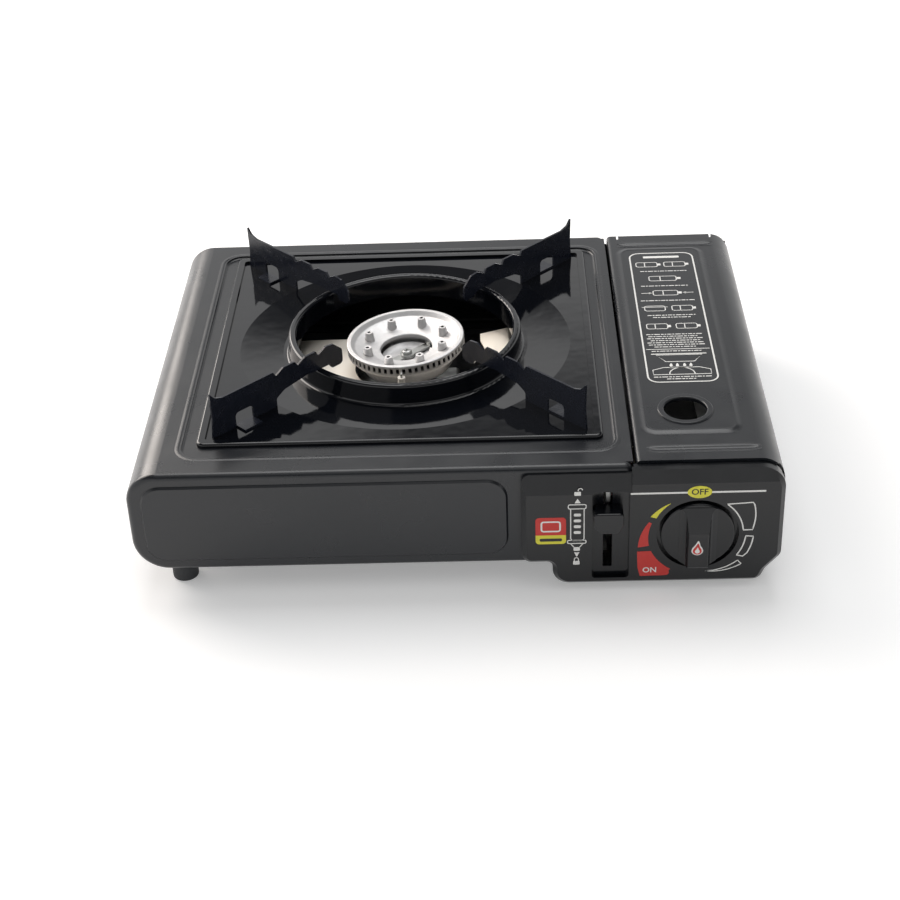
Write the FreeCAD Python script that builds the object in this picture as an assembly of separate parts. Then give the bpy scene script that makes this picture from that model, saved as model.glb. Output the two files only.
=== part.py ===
import FreeCAD, Part
import os
from math import acos, cos, hypot, pi, radians, sin, tan

V = FreeCAD.Vector

# Butane cassette stove. Millimetres, +X right, +Y back, +Z up, with the floor at Z 0.
# Each piece is moved by ORIGIN_Y as it is kept, so that the origin is the centre of the bounding box.

# Envelope of the steel body
WIDTH = 343.0
LEFT = -WIDTH / 2
RIGHT = WIDTH / 2
BODY_FRONT = -122.5
TOP_Z = 75.0
CASE_BOTTOM_Z = 15.0
SHEET = 0.8
SHOULDER_R = 17.0
KEEL_R = 19.0
SEAM_Z = 51.0
RIM_DEPTH = 4.5
RIM_ROUND = 3.2
LAP = 6.0
FLANGE_DEPTH = 11.0
PAST = 1.0

# Steps across the width
BAY_SPAN = 78.5
COVER_RIGHT = RIGHT - BAY_SPAN
COVER_RIGHT_R = 4.5
COVER_FLANGE = 9.0
PANEL_LEFT = COVER_RIGHT - 58.0
FIELD_LEFT = LEFT + 7.5
FIELD_RIGHT = PANEL_LEFT - 7.0
FIELD_MARGIN = 6.5
FIELD_RISE = 1.2
FIELD_R = 11.0

# Air slots of the floor, louvres of the back and vents of the bay
FLOOR_SLOTS = 9
FLOOR_SLOT_PITCH = 20.0
FLOOR_SLOT_WIDTH = 4.0
FLOOR_SLOT_LENGTH = 100.0
LOUVRES = 6
LOUVRE_PITCH = 26.0
LOUVRE_LENGTH = 18.0
LOUVRE_Z = 38.0
VENTS = 5
VENT_PITCH = 10.0
VENT_HEIGHT = 24.0
VENT_Z = 26.0
SLOT_ROUND = 1.9

# Drip pan and the shelf that it stands in
SHELF_DROP = 1.5
SHELF_LEFT = LEFT + 26.5
SHELF_RIGHT = COVER_RIGHT - 7.0
SHELF_R = 11.0
SHELF_LEDGE = 7.0
SHELF_Z = TOP_Z - SHELF_DROP
PAN_SIDE = SHELF_RIGHT - SHELF_LEFT - 14.8
PAN_X = (SHELF_LEFT + SHELF_RIGHT) / 2 + 0.75
SHELF_FRONT = BODY_FRONT + 16.7
PAN_Y = SHELF_FRONT + 11.9 + PAN_SIDE / 2
SHELF_BACK = PAN_Y + PAN_SIDE / 2 + 5.1
BODY_BACK = SHELF_BACK + 15.1
BODY_MID_Y = (BODY_FRONT + BODY_BACK) / 2
PAN_ROLL = 4.5
PAN_CORNER_R = 4.0
PAN_SHEET = 0.8
PAN_FLAT_Z = 74.4
PAN_ROLL_TOP_Z = 75.9
DISH_R = PAN_SIDE / 2 - 12.1
DISH_DROP = 2.2
DISH_Z = PAN_FLAT_Z - DISH_DROP

# Collar round the burner opening
COLLAR_BASE_R = 67.5
COLLAR_LIP_R = COLLAR_BASE_R - 0.9
COLLAR_LIP_WIDTH = 4.3
COLLAR_HEIGHT = 12.0
COLLAR_SKIRT = 13.0
LIP_Z = DISH_Z + COLLAR_HEIGHT

# Pan supports: radii from the pan centre, heights above the pan's flat
SUPPORT_SHEET = 1.2
SUPPORT_FOOT_OUT = PAN_SIDE / 2 + 32.9
SUPPORT_FOOT_IN = SUPPORT_FOOT_OUT - 44.5
SUPPORT_NOSE_R = 48.0
SUPPORT_TOP = 21.8
SUPPORT_HORN = 27.4
SUPPORT_WINDOW_IN = SUPPORT_FOOT_OUT - 28.0
SUPPORT_WINDOW_OUT = SUPPORT_FOOT_OUT - 16.0
SUPPORT_WINDOW_TOP = 8.6
SUPPORT_NOTCHES = (SUPPORT_FOOT_OUT - 45.5, SUPPORT_FOOT_OUT - 61.0, SUPPORT_FOOT_OUT - 76.0)
SUPPORT_NOTCH_DEPTH = 3.0
SUPPORT_NOTCH_RAMP = 5.5
SUPPORT_FLANGE = 8.0

# Burner
BURNER_R = 34.0
BURNER_RIM_Z = 77.0
BURNER_RIM_WIDTH = 2.4
BURNER_EYE_R = 15.0
BURNER_EYE_Z = 70.6
BURNER_SLOTS = 60
SLOT_HEIGHT = 3.0
SLOT_WIDTH = 1.7
SLOT_DEPTH = 3.0
SLOT_LAND = 1.2
SLOT_CROWN = 1.4
BURNER_JOINT_Z = BURNER_RIM_Z - SLOT_CROWN - SLOT_HEIGHT - SLOT_LAND
NIPPLES = 8
NIPPLE_CIRCLE_R = 23.2
NIPPLE_R = 2.5
NIPPLE_HEIGHT = 6.4
NIPPLE_BORE_R = 1.0
NIPPLE_FIRST_DEG = 22.5
BURNER_TILT_DEG = 3.5
BOWL_WALL = 2.0
BOWL_BOTTOM_Z = 44.0
BOWL_WAIST_Z = 54.0
BOWL_BELLY_Z = 60.0
BOWL_BOTTOM_R = 12.0
BOWL_WAIST_R = 14.0
BOWL_POST_R = 3.2
MIXER_R = 9.0
MIXER_WALL = 1.8
MIXER_Z = 46.0
MIXER_MOUTH_X = PAN_X + 76.75
MIXER_MOUTH_Y = PAN_Y - 76.2
STRAP_WIDTH = 5.0
STRAP_SHEET = 1.2
STRAP_DROP = 6.0
STRAP_DEG = 38.0
BRACKET_HALF = 30.0
BRACKET_FOOT = 12.0
BRACKET_SHEET = 1.2
BRACKET_WIDTH = 24.0

# Heat reflector under the burner
REFLECTOR_Z = 57.2
REFLECTOR_LEFT = PAN_X - 71.25
REFLECTOR_RIGHT = PAN_X + 62.75
REFLECTOR_FRONT = PAN_Y - 60.2
REFLECTOR_BACK = PAN_Y + 32.8
REFLECTOR_RISE = 7.0
REFLECTOR_BEND_X = PAN_X + 36.75
REFLECTOR_SHEET = 0.8

# Ignition electrode and lead
ELECTRODE_X = PAN_X - 1.0
ELECTRODE_Y = PAN_Y - BURNER_R - 5.4
ELECTRODE_R = 2.2
ELECTRODE_TOP_Z = 73.6
NEEDLE_R = 0.7
NEEDLE_REACH = 3.4
LEAD_R = 1.4
LEAD_LOW_Z = CASE_BOTTOM_Z + 12

# Canister bay and its lid
BAY_RIGHT = RIGHT - 1.3
BAY_BOTTOM_Z = 4.0
BAY_R = 8.0
BAY_OUTER_R = 24.0
BAY_INNER_TOP_Z = 69.0
BAY_OUTER_TOP_Z = 44.0
POCKET_LEFT = COVER_RIGHT - 39.5
POCKET_BACK = -80.0
BAY_FRONT = -118.5
CANISTER_X = COVER_RIGHT + 38.5
CANISTER_Z = 38.5
GUIDE_TOP_Z = 60.0
LID_LEFT = COVER_RIGHT + 1.6
LID_TOP_Z = 76.2
LID_FRONT = -119.5
LID_BACK = BODY_BACK - 4.3
LID_SKIRT_Z = 38.0
LID_INNER_SKIRT = 5.0
LID_SHOULDER_R = 13.0
LID_END_SKIRT = 4.2
LID_EDGE_ROUND = 2.4
LID_PIVOT_Y = BODY_BACK - 8.5
LID_PIVOT_Z = 70.0
LID_EAR = 8.0
LID_EAR_LEFT = LID_LEFT + 7.4
LID_EAR_RIGHT = RIGHT - 13.5
PIVOT_R = 1.5
PIVOT_PLAY = 0.06
THUMB_HOLE_X = COVER_RIGHT + 31.2
THUMB_HOLE_Y = -71.7
THUMB_HOLE_R = 11.5
THUMB_RING_R = THUMB_HOLE_R + 3.5
THUMB_RING_RISE = 0.8
GROOVE_DEPTH = 1.2
GROOVE_WIDTH = 4.0
GROOVE_FRONT_Y = -108.8
GROOVE_BACK_Y = LID_BACK - 12.8
EMBOSS_LEFT = COVER_RIGHT + 9.0
EMBOSS_RIGHT = RIGHT - 21.5
EMBOSS_FRONT = -92.2
EMBOSS_BACK = LID_BACK - 20.2
EMBOSS_RISE = 0.7
EMBOSS_R = 6.0

# Control panel
PANEL_FACE = -128.75
PANEL_WALL = 2.2
PANEL_STEP_X = PANEL_LEFT + 16.0
PANEL_STEP_Z = 18.2
PANEL_BOTTOM_Z = 4.0
PANEL_RIGHT = RIGHT - 0.5
PANEL_LOW_RIGHT = PANEL_RIGHT - 8.0
PANEL_LEFT_TOP_Z = 71.8
PANEL_RIGHT_TOP_Z = 74.6
PANEL_BEVEL = 2.4
BROW_LEFT_Z = 62.0
BROW_RIGHT_Z = 67.5
BROW_SLOPE = 0.45
LEVER_X = COVER_RIGHT - 13.2
RECESS_LEFT = LEVER_X - 8.3
RECESS_RIGHT = LEVER_X + 11.2
RECESS_LOW_Z = 8.5
RECESS_HIGH_Z = 63.0
RECESS_DEPTH = 3.0
LEVER_SLOT_WIDTH = 4.8
LEVER_SLOT_LOW_Z = 14.0
LEVER_SLOT_HIGH_Z = 62.0
LUG_R = 3.2
LUG_BORE_R = 1.15

# Knob, spindle and the igniter that it works
KNOB_X = COVER_RIGHT + 33.6
KNOB_Z = 35.6
KNOB_R = 19.4
KNOB_FRONT = PANEL_FACE - 6.2
KNOB_DISC_PROUD = 0.8
KNOB_WELL_PLAY = 2.0
KNOB_WELL_DEPTH = 3.6
GRIP_WIDTH = 10.6
GRIP_FLARE = 4.6
SPINDLE_R = 3.0
SPINDLE_PLAY = 0.06
CAM_TRAVEL = 4.0
CAM_SWEEP_DEG = 120.0
CAM_STEPS = 16
CAM_R = 16.0
CAM_HALF_WIDTH = 3.2
CAM_PLATE = 1.0
CAM_START = 0.2
CAM_Y = -118.2
PLUNGER_R = 2.5
PLUNGER_BORE = 12.0
IGNITER_R = 6.0
IGNITER_LENGTH = 24.0
RUN_CLEARANCE = 0.3

# Lock lever and the carrier that it draws forward
LEVER_WIDTH = 15.6
LEVER_LOW_Z = 37.5
LEVER_HIGH_Z = 54.0
LEVER_PROUD = 7.0
LEVER_TRAVEL = 20.0
CARRIER_TRAVEL = 5.0
CARRIER_SHEET = 1.2
CARRIER_HALF = 19.0
FOLLOWER_R = 1.8
FOLLOWER_PLAY = 0.35
FOLLOWER_Y = -104.0
FOLLOWER_Z = 38.0
SLIDER_SHEET = 2.0
SLIDER_FRONT = FOLLOWER_Y - 16.5
SLIDER_BACK = FOLLOWER_Y + 7.0
CHANNEL_TOP_Z = 60.0
SLIDER_LOW_Z = 32.0
SLIDER_HIGH_Z = 64.0

# Regulator
REG_LEFT = KNOB_X - 6.5
REG_RIGHT = REG_LEFT + 28.5
REG_FRONT = -112.0
REG_BACK = -86.0
REG_LOW_Z = 20.0
REG_HIGH_Z = 56.0
REG_CAP_R = 13.0
REG_CAP_X = REG_LEFT + 14.5
REG_CAP_Y = REG_FRONT + 13.0
OUTLET_R = 3.5
OUTLET_Z = REG_HIGH_Z - 9.5
GAS_PIPE_R = 2.4
JET_R = 3.6
SEAT_R = 9.0

# Feet and fasteners
FOOT_R = 7.0
FOOT_X = LEFT + 23.1
FOOT_FRONT_Y = -105.9
FOOT_BACK_Y = BODY_BACK - 16.6
PAD_R = 6.0
PAD_X = CANISTER_X + 6.5
PAD_LEFT_X = PAD_X - 32.0
PAD_FRONT_Y = -62.0
PAD_BACK_Y = BODY_BACK - 20.5
SCREW_HEAD_R = 3.2

ORIGIN_Y = (PANEL_FACE - LEVER_PROUD + BODY_BACK + FIELD_RISE) / 2


# Outlines and plain solids

def unit(u, v):
    length = hypot(u, v)
    return u / length, v / length


def rounded_wire(corners, place):
    """Closed wire through (u, v, radius) corners; place maps (u, v) into space."""
    spans = []
    for i, (u, v, r) in enumerate(corners):
        before = corners[i - 1]
        after = corners[(i + 1) % len(corners)]
        au, av = unit(before[0] - u, before[1] - v)
        bu, bv = unit(after[0] - u, after[1] - v)
        if r <= 0:
            spans.append(((u, v), None, (u, v)))
            continue
        half = acos(max(-1.0, min(1.0, au * bu + av * bv))) / 2
        run = r / tan(half)
        mu, mv = unit(au + bu, av + bv)
        reach = r / sin(half) - r
        spans.append(((u + au * run, v + av * run), (u + mu * reach, v + mv * reach),
                      (u + bu * run, v + bv * run)))
    edges = []
    for i, (start, middle, end) in enumerate(spans):
        if middle:
            edges.append(Part.Arc(place(*start), place(*middle), place(*end)).toShape())
        following = spans[(i + 1) % len(spans)][0]
        if hypot(following[0] - end[0], following[1] - end[1]) > 1e-6:
            edges.append(Part.makeLine(place(*end), place(*following)))
    return Part.Wire(edges)


def prism(corners, axis, low, high):
    """Outline pushed along an axis: X takes (y, z) corners, Y takes (x, z), Z takes (x, y)."""
    place = {"X": lambda u, v: V(low, u, v),
             "Y": lambda u, v: V(u, low, v),
             "Z": lambda u, v: V(u, v, low)}[axis]
    push = {"X": V(high - low, 0, 0), "Y": V(0, high - low, 0), "Z": V(0, 0, high - low)}[axis]
    return Part.Face(rounded_wire(corners, place)).extrude(push)


def flat(points):
    return [(u, v, 0) for u, v in points]


def oblong(u0, v0, u1, v1, r=0.0):
    return [(u0, v0, r), (u0, v1, r), (u1, v1, r), (u1, v0, r)]


def shifted(before, corner, after, distance):
    """Corner of an outline moved to its right-hand side by a distance, with its radius."""
    au, av = unit(corner[0] - before[0], corner[1] - before[1])
    bu, bv = unit(after[0] - corner[0], after[1] - corner[1])
    turn = au * bv - av * bu
    share = distance / (1 + au * bu + av * bv)
    u = corner[0] + (av + bv) * share
    v = corner[1] - (au + bu) * share
    r = corner[2]
    if r > 0:
        r = r + distance if turn > 0 else r - distance
    return u, v, max(r, 0.0)


def inset(corners, distance):
    """Clockwise closed outline drawn in by a distance."""
    count = len(corners)
    return [shifted(corners[i - 1], corners[i], corners[(i + 1) % count], distance)
            for i in range(count)]


def strip(path, thickness):
    """Sheet that follows an open path, with its thickness to the right of the travel."""
    count = len(path)
    inner = []
    for i, corner in enumerate(path):
        before = path[i - 1] if i > 0 else (2 * corner[0] - path[1][0], 2 * corner[1] - path[1][1])
        after = path[i + 1] if i < count - 1 else (2 * corner[0] - path[-2][0], 2 * corner[1] - path[-2][1])
        inner.append(shifted(before, corner, after, thickness))
    return list(path) + inner[::-1]


def box(x0, y0, z0, x1, y1, z1):
    return Part.makeBox(x1 - x0, y1 - y0, z1 - z0, V(x0, y0, z0))


def rod(start, end, r):
    along = V(*end) - V(*start)
    return Part.makeCylinder(r, along.Length, V(*start), along)


def tube(start, end, outer, inner):
    return rod(start, end, outer).cut(rod(start, end, inner))


def turned(profile, x, y):
    """Solid of revolution about a vertical axis at (x, y), from (radius, height) corners."""
    wire = rounded_wire(profile, lambda r, z: V(x + r, y, z))
    return Part.Face(wire).revolve(V(x, y, 0), V(0, 0, 1), 360)


def fused(shapes):
    shapes = list(shapes)
    return shapes[0].multiFuse(shapes[1:]).removeSplitter()


def edges_at_y(shape, y):
    return [e for e in shape.Edges if abs(e.BoundBox.YMin - y) < 1e-4 and abs(e.BoundBox.YMax - y) < 1e-4]


def keep(name, shape):
    shape.translate(V(0, -ORIGIN_Y, 0))
    shape.exportStep("parts/" + name + ".step")
    print(name, len(shape.Solids), round(shape.Volume), shape.isValid())


# Steel body

def body_outline():
    return [(LEFT, CASE_BOTTOM_Z, KEEL_R), (LEFT, TOP_Z, SHOULDER_R),
            (COVER_RIGHT, TOP_Z, COVER_RIGHT_R), (COVER_RIGHT, CASE_BOTTOM_Z, COVER_RIGHT_R)]


def shelf_outline():
    return oblong(SHELF_LEFT, SHELF_FRONT, SHELF_RIGHT, SHELF_BACK, SHELF_R)


def top_cover():
    y0 = BODY_FRONT + RIM_DEPTH
    y1 = BODY_BACK - RIM_DEPTH
    path = [(LEFT, SEAM_Z, 0), (LEFT, TOP_Z, SHOULDER_R), (COVER_RIGHT, TOP_Z, 0),
            (COVER_RIGHT, TOP_Z - COVER_FLANGE, 0)]
    skin = prism(strip(path, SHEET), "Y", y0, y1)
    for end in (y0, y1 - FLANGE_DEPTH + RIM_DEPTH):
        skin = skin.cut(box(COVER_RIGHT - 2 * SHEET, end, TOP_Z - COVER_FLANGE - PAST,
                            COVER_RIGHT + PAST, end + FLANGE_DEPTH - RIM_DEPTH, TOP_Z - SHEET))
    skin = skin.cut(prism(shelf_outline(), "Z", TOP_Z - SHEET - PAST, TOP_Z + PAST))
    tray = prism(shelf_outline(), "Z", SHELF_Z - SHEET, TOP_Z)
    tray = tray.cut(prism(inset(shelf_outline(), SHEET), "Z", SHELF_Z, TOP_Z + PAST))
    half = PAN_SIDE / 2 - SHELF_LEDGE
    opening = oblong(PAN_X - half, PAN_Y - half, PAN_X + half, PAN_Y + half, SHELF_R)
    return fused([skin, tray]).cut(prism(opening, "Z", SHELF_Z - 2 * SHEET, TOP_Z))


def lower_case():
    y0 = BODY_FRONT + RIM_DEPTH
    y1 = BODY_BACK - RIM_DEPTH
    path = [(COVER_RIGHT, CASE_BOTTOM_Z, 0), (LEFT, CASE_BOTTOM_Z, KEEL_R), (LEFT, SEAM_Z, 0)]
    tray = prism(strip(path, SHEET), "Y", y0, y1)
    lap = box(LEFT + SHEET, BODY_FRONT + FLANGE_DEPTH + PAST, SEAM_Z - LAP,
              LEFT + 2 * SHEET, BODY_BACK - FLANGE_DEPTH - PAST, SEAM_Z + LAP)
    tray = fused([tray, lap])
    tray = tray.cut(box(POCKET_LEFT, y0 - PAST, CASE_BOTTOM_Z - PAST, COVER_RIGHT + PAST,
                        POCKET_BACK, CASE_BOTTOM_Z + 2 * SHEET))
    for y in (FOOT_FRONT_Y, FOOT_BACK_Y):
        tray = tray.cut(rod((FOOT_X, y, 0), (FOOT_X, y, CASE_BOTTOM_Z + 2), FOOT_R / 2))
    for i in range(FLOOR_SLOTS):
        x = PAN_X + FLOOR_SLOT_PITCH * (i - FLOOR_SLOTS / 2)
        tray = tray.cut(box(x, PAN_Y - FLOOR_SLOT_LENGTH / 2, CASE_BOTTOM_Z - PAST, x + FLOOR_SLOT_WIDTH,
                            PAN_Y + FLOOR_SLOT_LENGTH / 2, CASE_BOTTOM_Z + 2 * SHEET))
    return tray


def end_plate(window):
    """Pressed end plate with a rounded rim, an inner flange and a raised field."""
    outline = body_outline()
    rim = prism(outline, "Y", BODY_FRONT, BODY_FRONT + RIM_DEPTH)
    rim = rim.makeFillet(RIM_ROUND, edges_at_y(rim, BODY_FRONT))
    hollow = prism(inset(outline, SHEET), "Y", BODY_FRONT, BODY_FRONT + RIM_DEPTH)
    hollow = hollow.makeFillet(RIM_ROUND - SHEET, edges_at_y(hollow, BODY_FRONT))
    hollow.translate(V(0, SHEET, 0))
    flange = prism(inset(outline, SHEET), "Y", BODY_FRONT + RIM_ROUND, BODY_FRONT + FLANGE_DEPTH)
    bore = prism(inset(outline, 2 * SHEET), "Y", BODY_FRONT, BODY_FRONT + FLANGE_DEPTH + PAST)
    field = oblong(FIELD_LEFT, CASE_BOTTOM_Z + FIELD_MARGIN, FIELD_RIGHT, TOP_Z - FIELD_MARGIN, FIELD_R)
    raised = prism(field, "Y", BODY_FRONT - FIELD_RISE, BODY_FRONT + SHEET / 2)
    raised = raised.makeChamfer(FIELD_RISE * 0.8, edges_at_y(raised, BODY_FRONT - FIELD_RISE))
    back = prism(inset(field, SHEET), "Y", BODY_FRONT - FIELD_RISE + SHEET, BODY_FRONT + RIM_DEPTH)
    plate = fused([rim.cut(hollow), flange.cut(bore), raised]).cut(back)
    return plate.cut(window)


def front_panel():
    window = box(PANEL_STEP_X + PANEL_WALL, BODY_FRONT - PAST, CASE_BOTTOM_Z + 6,
                 COVER_RIGHT - 4, BODY_FRONT + RIM_ROUND, TOP_Z - 10)
    well = box(LEVER_X - LEVER_SLOT_WIDTH, BODY_FRONT - PAST, CASE_BOTTOM_Z - PAST, COVER_RIGHT - 4,
               BODY_FRONT + FLANGE_DEPTH + PAST, CASE_BOTTOM_Z + 9)
    return end_plate(window.fuse(well))


def rear_panel():
    slots = []
    for i in range(LOUVRES):
        x = FIELD_LEFT + 64.0 + LOUVRE_PITCH * i
        louvre = oblong(x, LOUVRE_Z, x + LOUVRE_LENGTH, LOUVRE_Z + 4, SLOT_ROUND)
        slots.append(prism(louvre, "Y", BODY_FRONT - 5, BODY_FRONT + RIM_DEPTH))
    plate = end_plate(Part.makeCompound(slots))
    return plate.mirror(V(0, BODY_MID_Y, 0), V(0, 1, 0))


# Canister bay and lid

def bay_outline(left, top):
    return [(left, BAY_BOTTOM_Z, BAY_R), (left, top, 0), (BAY_RIGHT, top, 0),
            (BAY_RIGHT, BAY_BOTTOM_Z, BAY_OUTER_R)]


def canister_bay():
    main = bay_outline(COVER_RIGHT, BAY_INNER_TOP_Z)
    pocket = bay_outline(POCKET_LEFT, BAY_OUTER_TOP_Z)
    outer = fused([prism(main, "Y", POCKET_BACK, BODY_BACK), prism(pocket, "Y", BAY_FRONT, POCKET_BACK)])
    high = BAY_INNER_TOP_Z + PAST
    inner_main = inset(bay_outline(COVER_RIGHT, high + SHEET), SHEET)
    inner_pocket = inset(bay_outline(POCKET_LEFT, high + SHEET), SHEET)
    trough = outer.cut(prism(inner_main, "Y", POCKET_BACK - SHEET - PAST, BODY_BACK - SHEET))
    trough = trough.cut(prism(inner_pocket, "Y", BAY_FRONT - PAST, POCKET_BACK - SHEET))
    trough = trough.cut(box(POCKET_LEFT - PAST, BAY_FRONT - PAST, CASE_BOTTOM_Z, COVER_RIGHT - SHEET,
                            POCKET_BACK + PAST, high))
    trough = trough.cut(box(BAY_RIGHT - 2 * SHEET, BAY_FRONT - PAST, BAY_OUTER_TOP_Z, BAY_RIGHT + PAST,
                            BODY_BACK - SHEET, high))
    half = LID_EAR / 2
    for x in hinge_tabs():
        tab = prism([(LID_PIVOT_Y - half, LID_PIVOT_Z - half, 2), (LID_PIVOT_Y - half, LID_PIVOT_Z + half, 3),
                     (LID_PIVOT_Y + half, LID_PIVOT_Z + half, 3), (LID_PIVOT_Y + half, BAY_INNER_TOP_Z, 0),
                     (BODY_BACK - SHEET, BAY_INNER_TOP_Z, 0), (BODY_BACK - SHEET, LID_PIVOT_Z - LID_EAR, 0)],
                    "X", x, x + SHEET)
        trough = trough.fuse(tab)
        bore = rod((x - PAST, LID_PIVOT_Y, LID_PIVOT_Z), (x + 2 * PAST, LID_PIVOT_Y, LID_PIVOT_Z), PIVOT_R)
        trough = trough.cut(bore)
    for x in (PAD_X, PAD_LEFT_X):
        for y in (PAD_FRONT_Y, PAD_BACK_Y):
            trough = trough.cut(rod((x, y, 0), (x, y, BAY_BOTTOM_Z + 3), PAD_R / 2))
    for i in range(VENTS):
        x = CANISTER_X - 24 + VENT_PITCH * i
        vent = oblong(x, VENT_Z, x + 4, VENT_Z + VENT_HEIGHT, SLOT_ROUND)
        trough = trough.cut(prism(vent, "Y", BODY_BACK - 2 * SHEET, BODY_BACK + PAST))
    return trough.removeSplitter()


def hinge_tabs():
    """Left faces of the bay's two hinge tabs, outside the lid's two ears."""
    return LID_EAR_LEFT - RUN_CLEARANCE - SHEET, LID_EAR_RIGHT + SHEET + RUN_CLEARANCE


def lid_hinge_pin():
    left, right = hinge_tabs()
    right = right + SHEET
    pin = rod((left, LID_PIVOT_Y, LID_PIVOT_Z), (right, LID_PIVOT_Y, LID_PIVOT_Z), PIVOT_R)
    heads = [rod((x, LID_PIVOT_Y, LID_PIVOT_Z), (x + SHEET, LID_PIVOT_Y, LID_PIVOT_Z), PIVOT_R * 1.7)
             for x in (left - SHEET, right)]
    return fused([pin] + heads)


def lid_block(gap):
    """Solid filled lid, drawn in by a gap on its covered faces."""
    outline = [(LID_LEFT + gap, LID_SKIRT_Z, 0), (LID_LEFT + gap, LID_TOP_Z - gap, LID_EDGE_ROUND - gap),
               (RIGHT - gap, LID_TOP_Z - gap, LID_SHOULDER_R - gap), (RIGHT - gap, LID_SKIRT_Z, 0)]
    return prism(outline, "Y", LID_FRONT + gap, LID_BACK - gap)


def lid_press(low, high, gap):
    """Raised panel of the lid's top between two heights, drawn in by a gap."""
    panel = oblong(EMBOSS_LEFT + gap, EMBOSS_FRONT + gap, EMBOSS_RIGHT - gap, EMBOSS_BACK - gap, EMBOSS_R)
    return prism(panel, "Z", low, high)


def canister_lid():
    skin = lid_block(0).cut(lid_block(SHEET).fuse(
        box(LID_LEFT + SHEET, LID_FRONT + SHEET, LID_SKIRT_Z - PAST, RIGHT - SHEET, LID_BACK - SHEET,
            LID_SKIRT_Z + PAST)))
    skin = skin.cut(box(LID_LEFT - PAST, LID_FRONT - PAST, LID_SKIRT_Z - PAST, LID_LEFT + 2 * SHEET,
                        LID_BACK + PAST, LID_TOP_Z - LID_INNER_SKIRT))
    for y in (LID_FRONT, LID_BACK - SHEET):
        skin = skin.cut(box(LID_LEFT - PAST, y - PAST, LID_SKIRT_Z - PAST, RIGHT - SHEET,
                            y + SHEET + PAST, LID_TOP_Z - LID_END_SKIRT))
    skirt = LID_SHOULDER_R + PAST
    for y in (LID_FRONT, LID_BACK - SHEET):
        skin = skin.cut(box(RIGHT - 2 * SHEET, y - PAST, LID_SKIRT_Z - PAST, RIGHT - SHEET,
                            y + SHEET + PAST, LID_TOP_Z - skirt))
    ring = tube((THUMB_HOLE_X, THUMB_HOLE_Y, LID_TOP_Z - SHEET), (THUMB_HOLE_X, THUMB_HOLE_Y,
                LID_TOP_Z + EMBOSS_RISE + THUMB_RING_RISE), THUMB_RING_R, THUMB_HOLE_R)
    ring = ring.makeFillet(THUMB_RING_RISE * 0.9, [e for e in ring.Edges
                           if e.BoundBox.ZMin > LID_TOP_Z + EMBOSS_RISE])
    emboss = lid_press(LID_TOP_Z - SHEET, LID_TOP_Z + EMBOSS_RISE, 0)
    hollow = lid_press(LID_TOP_Z - SHEET, LID_TOP_Z + EMBOSS_RISE - SHEET, SHEET)
    skin = fused([skin, emboss.cut(hollow), ring.cut(hollow)])
    hole = rod((THUMB_HOLE_X, THUMB_HOLE_Y, LID_TOP_Z - 5), (THUMB_HOLE_X, THUMB_HOLE_Y, LID_TOP_Z + 5),
               THUMB_HOLE_R)
    skin = skin.cut(hole)
    for y in (GROOVE_FRONT_Y, GROOVE_BACK_Y):
        lower = prism(oblong(y - GROOVE_WIDTH / 2 - SHEET, LID_TOP_Z - GROOVE_DEPTH - SHEET,
                             y + GROOVE_WIDTH / 2 + SHEET, LID_TOP_Z - SHEET / 2), "X",
                      EMBOSS_LEFT - SHEET, RIGHT - LID_SHOULDER_R + SHEET)
        groove = prism(oblong(y - GROOVE_WIDTH / 2, LID_TOP_Z - GROOVE_DEPTH,
                              y + GROOVE_WIDTH / 2, LID_TOP_Z + PAST), "X",
                       EMBOSS_LEFT, RIGHT - LID_SHOULDER_R)
        skin = skin.fuse(lower).cut(groove)
    half = LID_EAR / 2
    for x in (LID_EAR_LEFT, LID_EAR_RIGHT):
        ear = prism([(LID_PIVOT_Y - half, LID_PIVOT_Z - half, 3), (LID_PIVOT_Y - half, LID_TOP_Z - SHEET, 0),
                     (LID_PIVOT_Y + half - PAST, LID_TOP_Z - SHEET, 0),
                     (LID_PIVOT_Y + half - PAST, LID_PIVOT_Z - half, 3)], "X", x, x + SHEET)
        skin = skin.fuse(ear)
    play = RUN_CLEARANCE * 0.8
    for x in hinge_tabs():
        skin = skin.cut(box(x - play, LID_PIVOT_Y - play, LID_PIVOT_Z, x + SHEET + play, LID_BACK + PAST,
                            LID_TOP_Z + PAST))
    pin = rod((LID_EAR_LEFT - PAST, LID_PIVOT_Y, LID_PIVOT_Z), (LID_EAR_RIGHT + 2 * PAST, LID_PIVOT_Y,
              LID_PIVOT_Z), PIVOT_R + PIVOT_PLAY)
    return skin.cut(pin).removeSplitter()


# Drip pan and pan supports

def pan_square(half, r):
    return oblong(PAN_X - half, PAN_Y - half, PAN_X + half, PAN_Y + half, r)


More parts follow.
